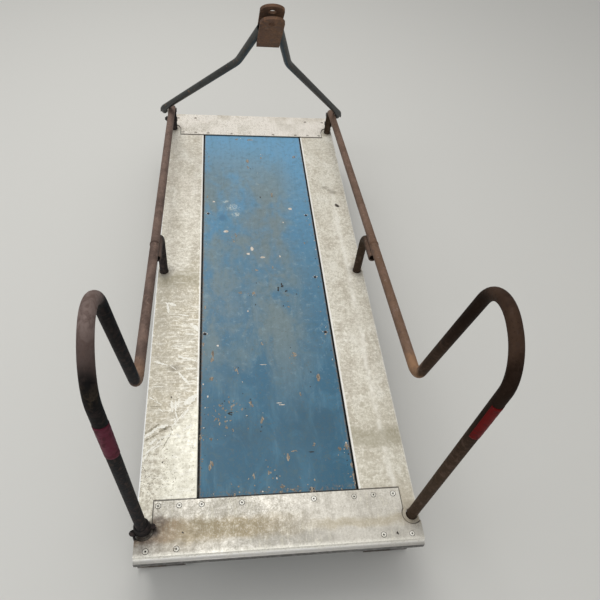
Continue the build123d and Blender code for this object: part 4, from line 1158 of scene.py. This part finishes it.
# The knots' places from the foot, and each short end's points from its knot, in metres
LEFT_KNOT, RIGHT_KNOT = (-0.0165, -0.0060, 0.002), (0.0170, 0.0040, 0.003)
LEFT_END = ((0, 0, 0), (0.001, -0.0065, 0.001), (0.0035, -0.0125, -0.002))
RIGHT_END = ((0, 0, 0), (0.004, -0.001, 0.001), (0.007, -0.004, -0.001))

foot = post_at(REAR_POST, FOOT_UP, -1)
turns = []
for step in range(TURNS * STEPS + 1):
    share = step / (TURNS * STEPS)
    angle = 2 * math.pi * step / STEPS
    reach = PIPE_R + TURN_OFF + TURN_SPREAD * (1 - share) + TURN_WAVER * math.sin(WAVERS_A_TURN * angle)
    lean = LEG_LEAN * (RISE * share)
    x = reach * math.cos(angle) - lean.x
    y = reach * math.sin(angle) * FLATTENED + FORWARD + lean.y
    turns.append(foot + Vector((x, y, RISE * share)) / 1000)
left_knot, right_knot = foot + Vector(LEFT_KNOT), foot + Vector(RIGHT_KNOT)
knots = (knot_turns(left_knot, 6.2, 4, 2), knot_turns(right_knot, 4.6, 3, 8))
ends = ([left_knot + Vector(way) for way in LEFT_END], [right_knot + Vector(way) for way in RIGHT_END])
wound_line("foot_lashing", (turns, *knots, *ends), LINE_THICK)

# The floor, the lamps and the pale room
FLOOR_HALF = 8.0
floor_mesh = bpy.data.meshes.new("floor")
corners = [(x * FLOOR_HALF, y * FLOOR_HALF, 0.0) for x, y in ((-1, -1), (1, -1), (1, 1), (-1, 1))]
floor_mesh.from_pydata(corners, [], [(0, 1, 2, 3)])
floor = add_object("floor", floor_mesh)
floor_mesh.materials.append(Finish("floor", (0.62, 0.62, 0.60)).done(0.75))

room = bpy.data.worlds.new("room")
room.use_nodes = True
room.node_tree.nodes["Background"].inputs["Color"].default_value = (1.0, 0.99, 0.97, 1.0)
room.node_tree.nodes["Background"].inputs["Strength"].default_value = 0.50
bpy.context.scene.world = room

LAMPS = (
    # name, place, aim, size, power, colour
    ("ceiling_lamp", (-0.3, 0.9, 3.0), (0.0, 0.0, 0.2), (1.2, 3.0), 46.5, (1.0, 0.985, 0.95)),
    ("side_lamp", (-2.6, -1.0, 2.2), (0.0, -0.1, 0.2), (1.5, 1.5), 15.5, (0.97, 0.985, 1.0)),
    ("rear_lamp", (-0.2, -3.2, 0.9), (0.0, -0.8, 0.2), (2.4, 0.8), 11.0, (0.985, 0.99, 1.0)),
)
for name, place, aim, size, power, colour in LAMPS:
    lamp = bpy.data.lights.new(name, "AREA")
    lamp.shape = "RECTANGLE"
    lamp.size, lamp.size_y = size
    lamp.energy = power
    lamp.color = colour
    holder = add_object(name, lamp)
    holder.location = place
    holder.rotation_euler = (Vector(aim) - Vector(place)).to_track_quat("-Z", "Y").to_euler()

bpy.context.scene.view_settings.view_transform = "Standard"
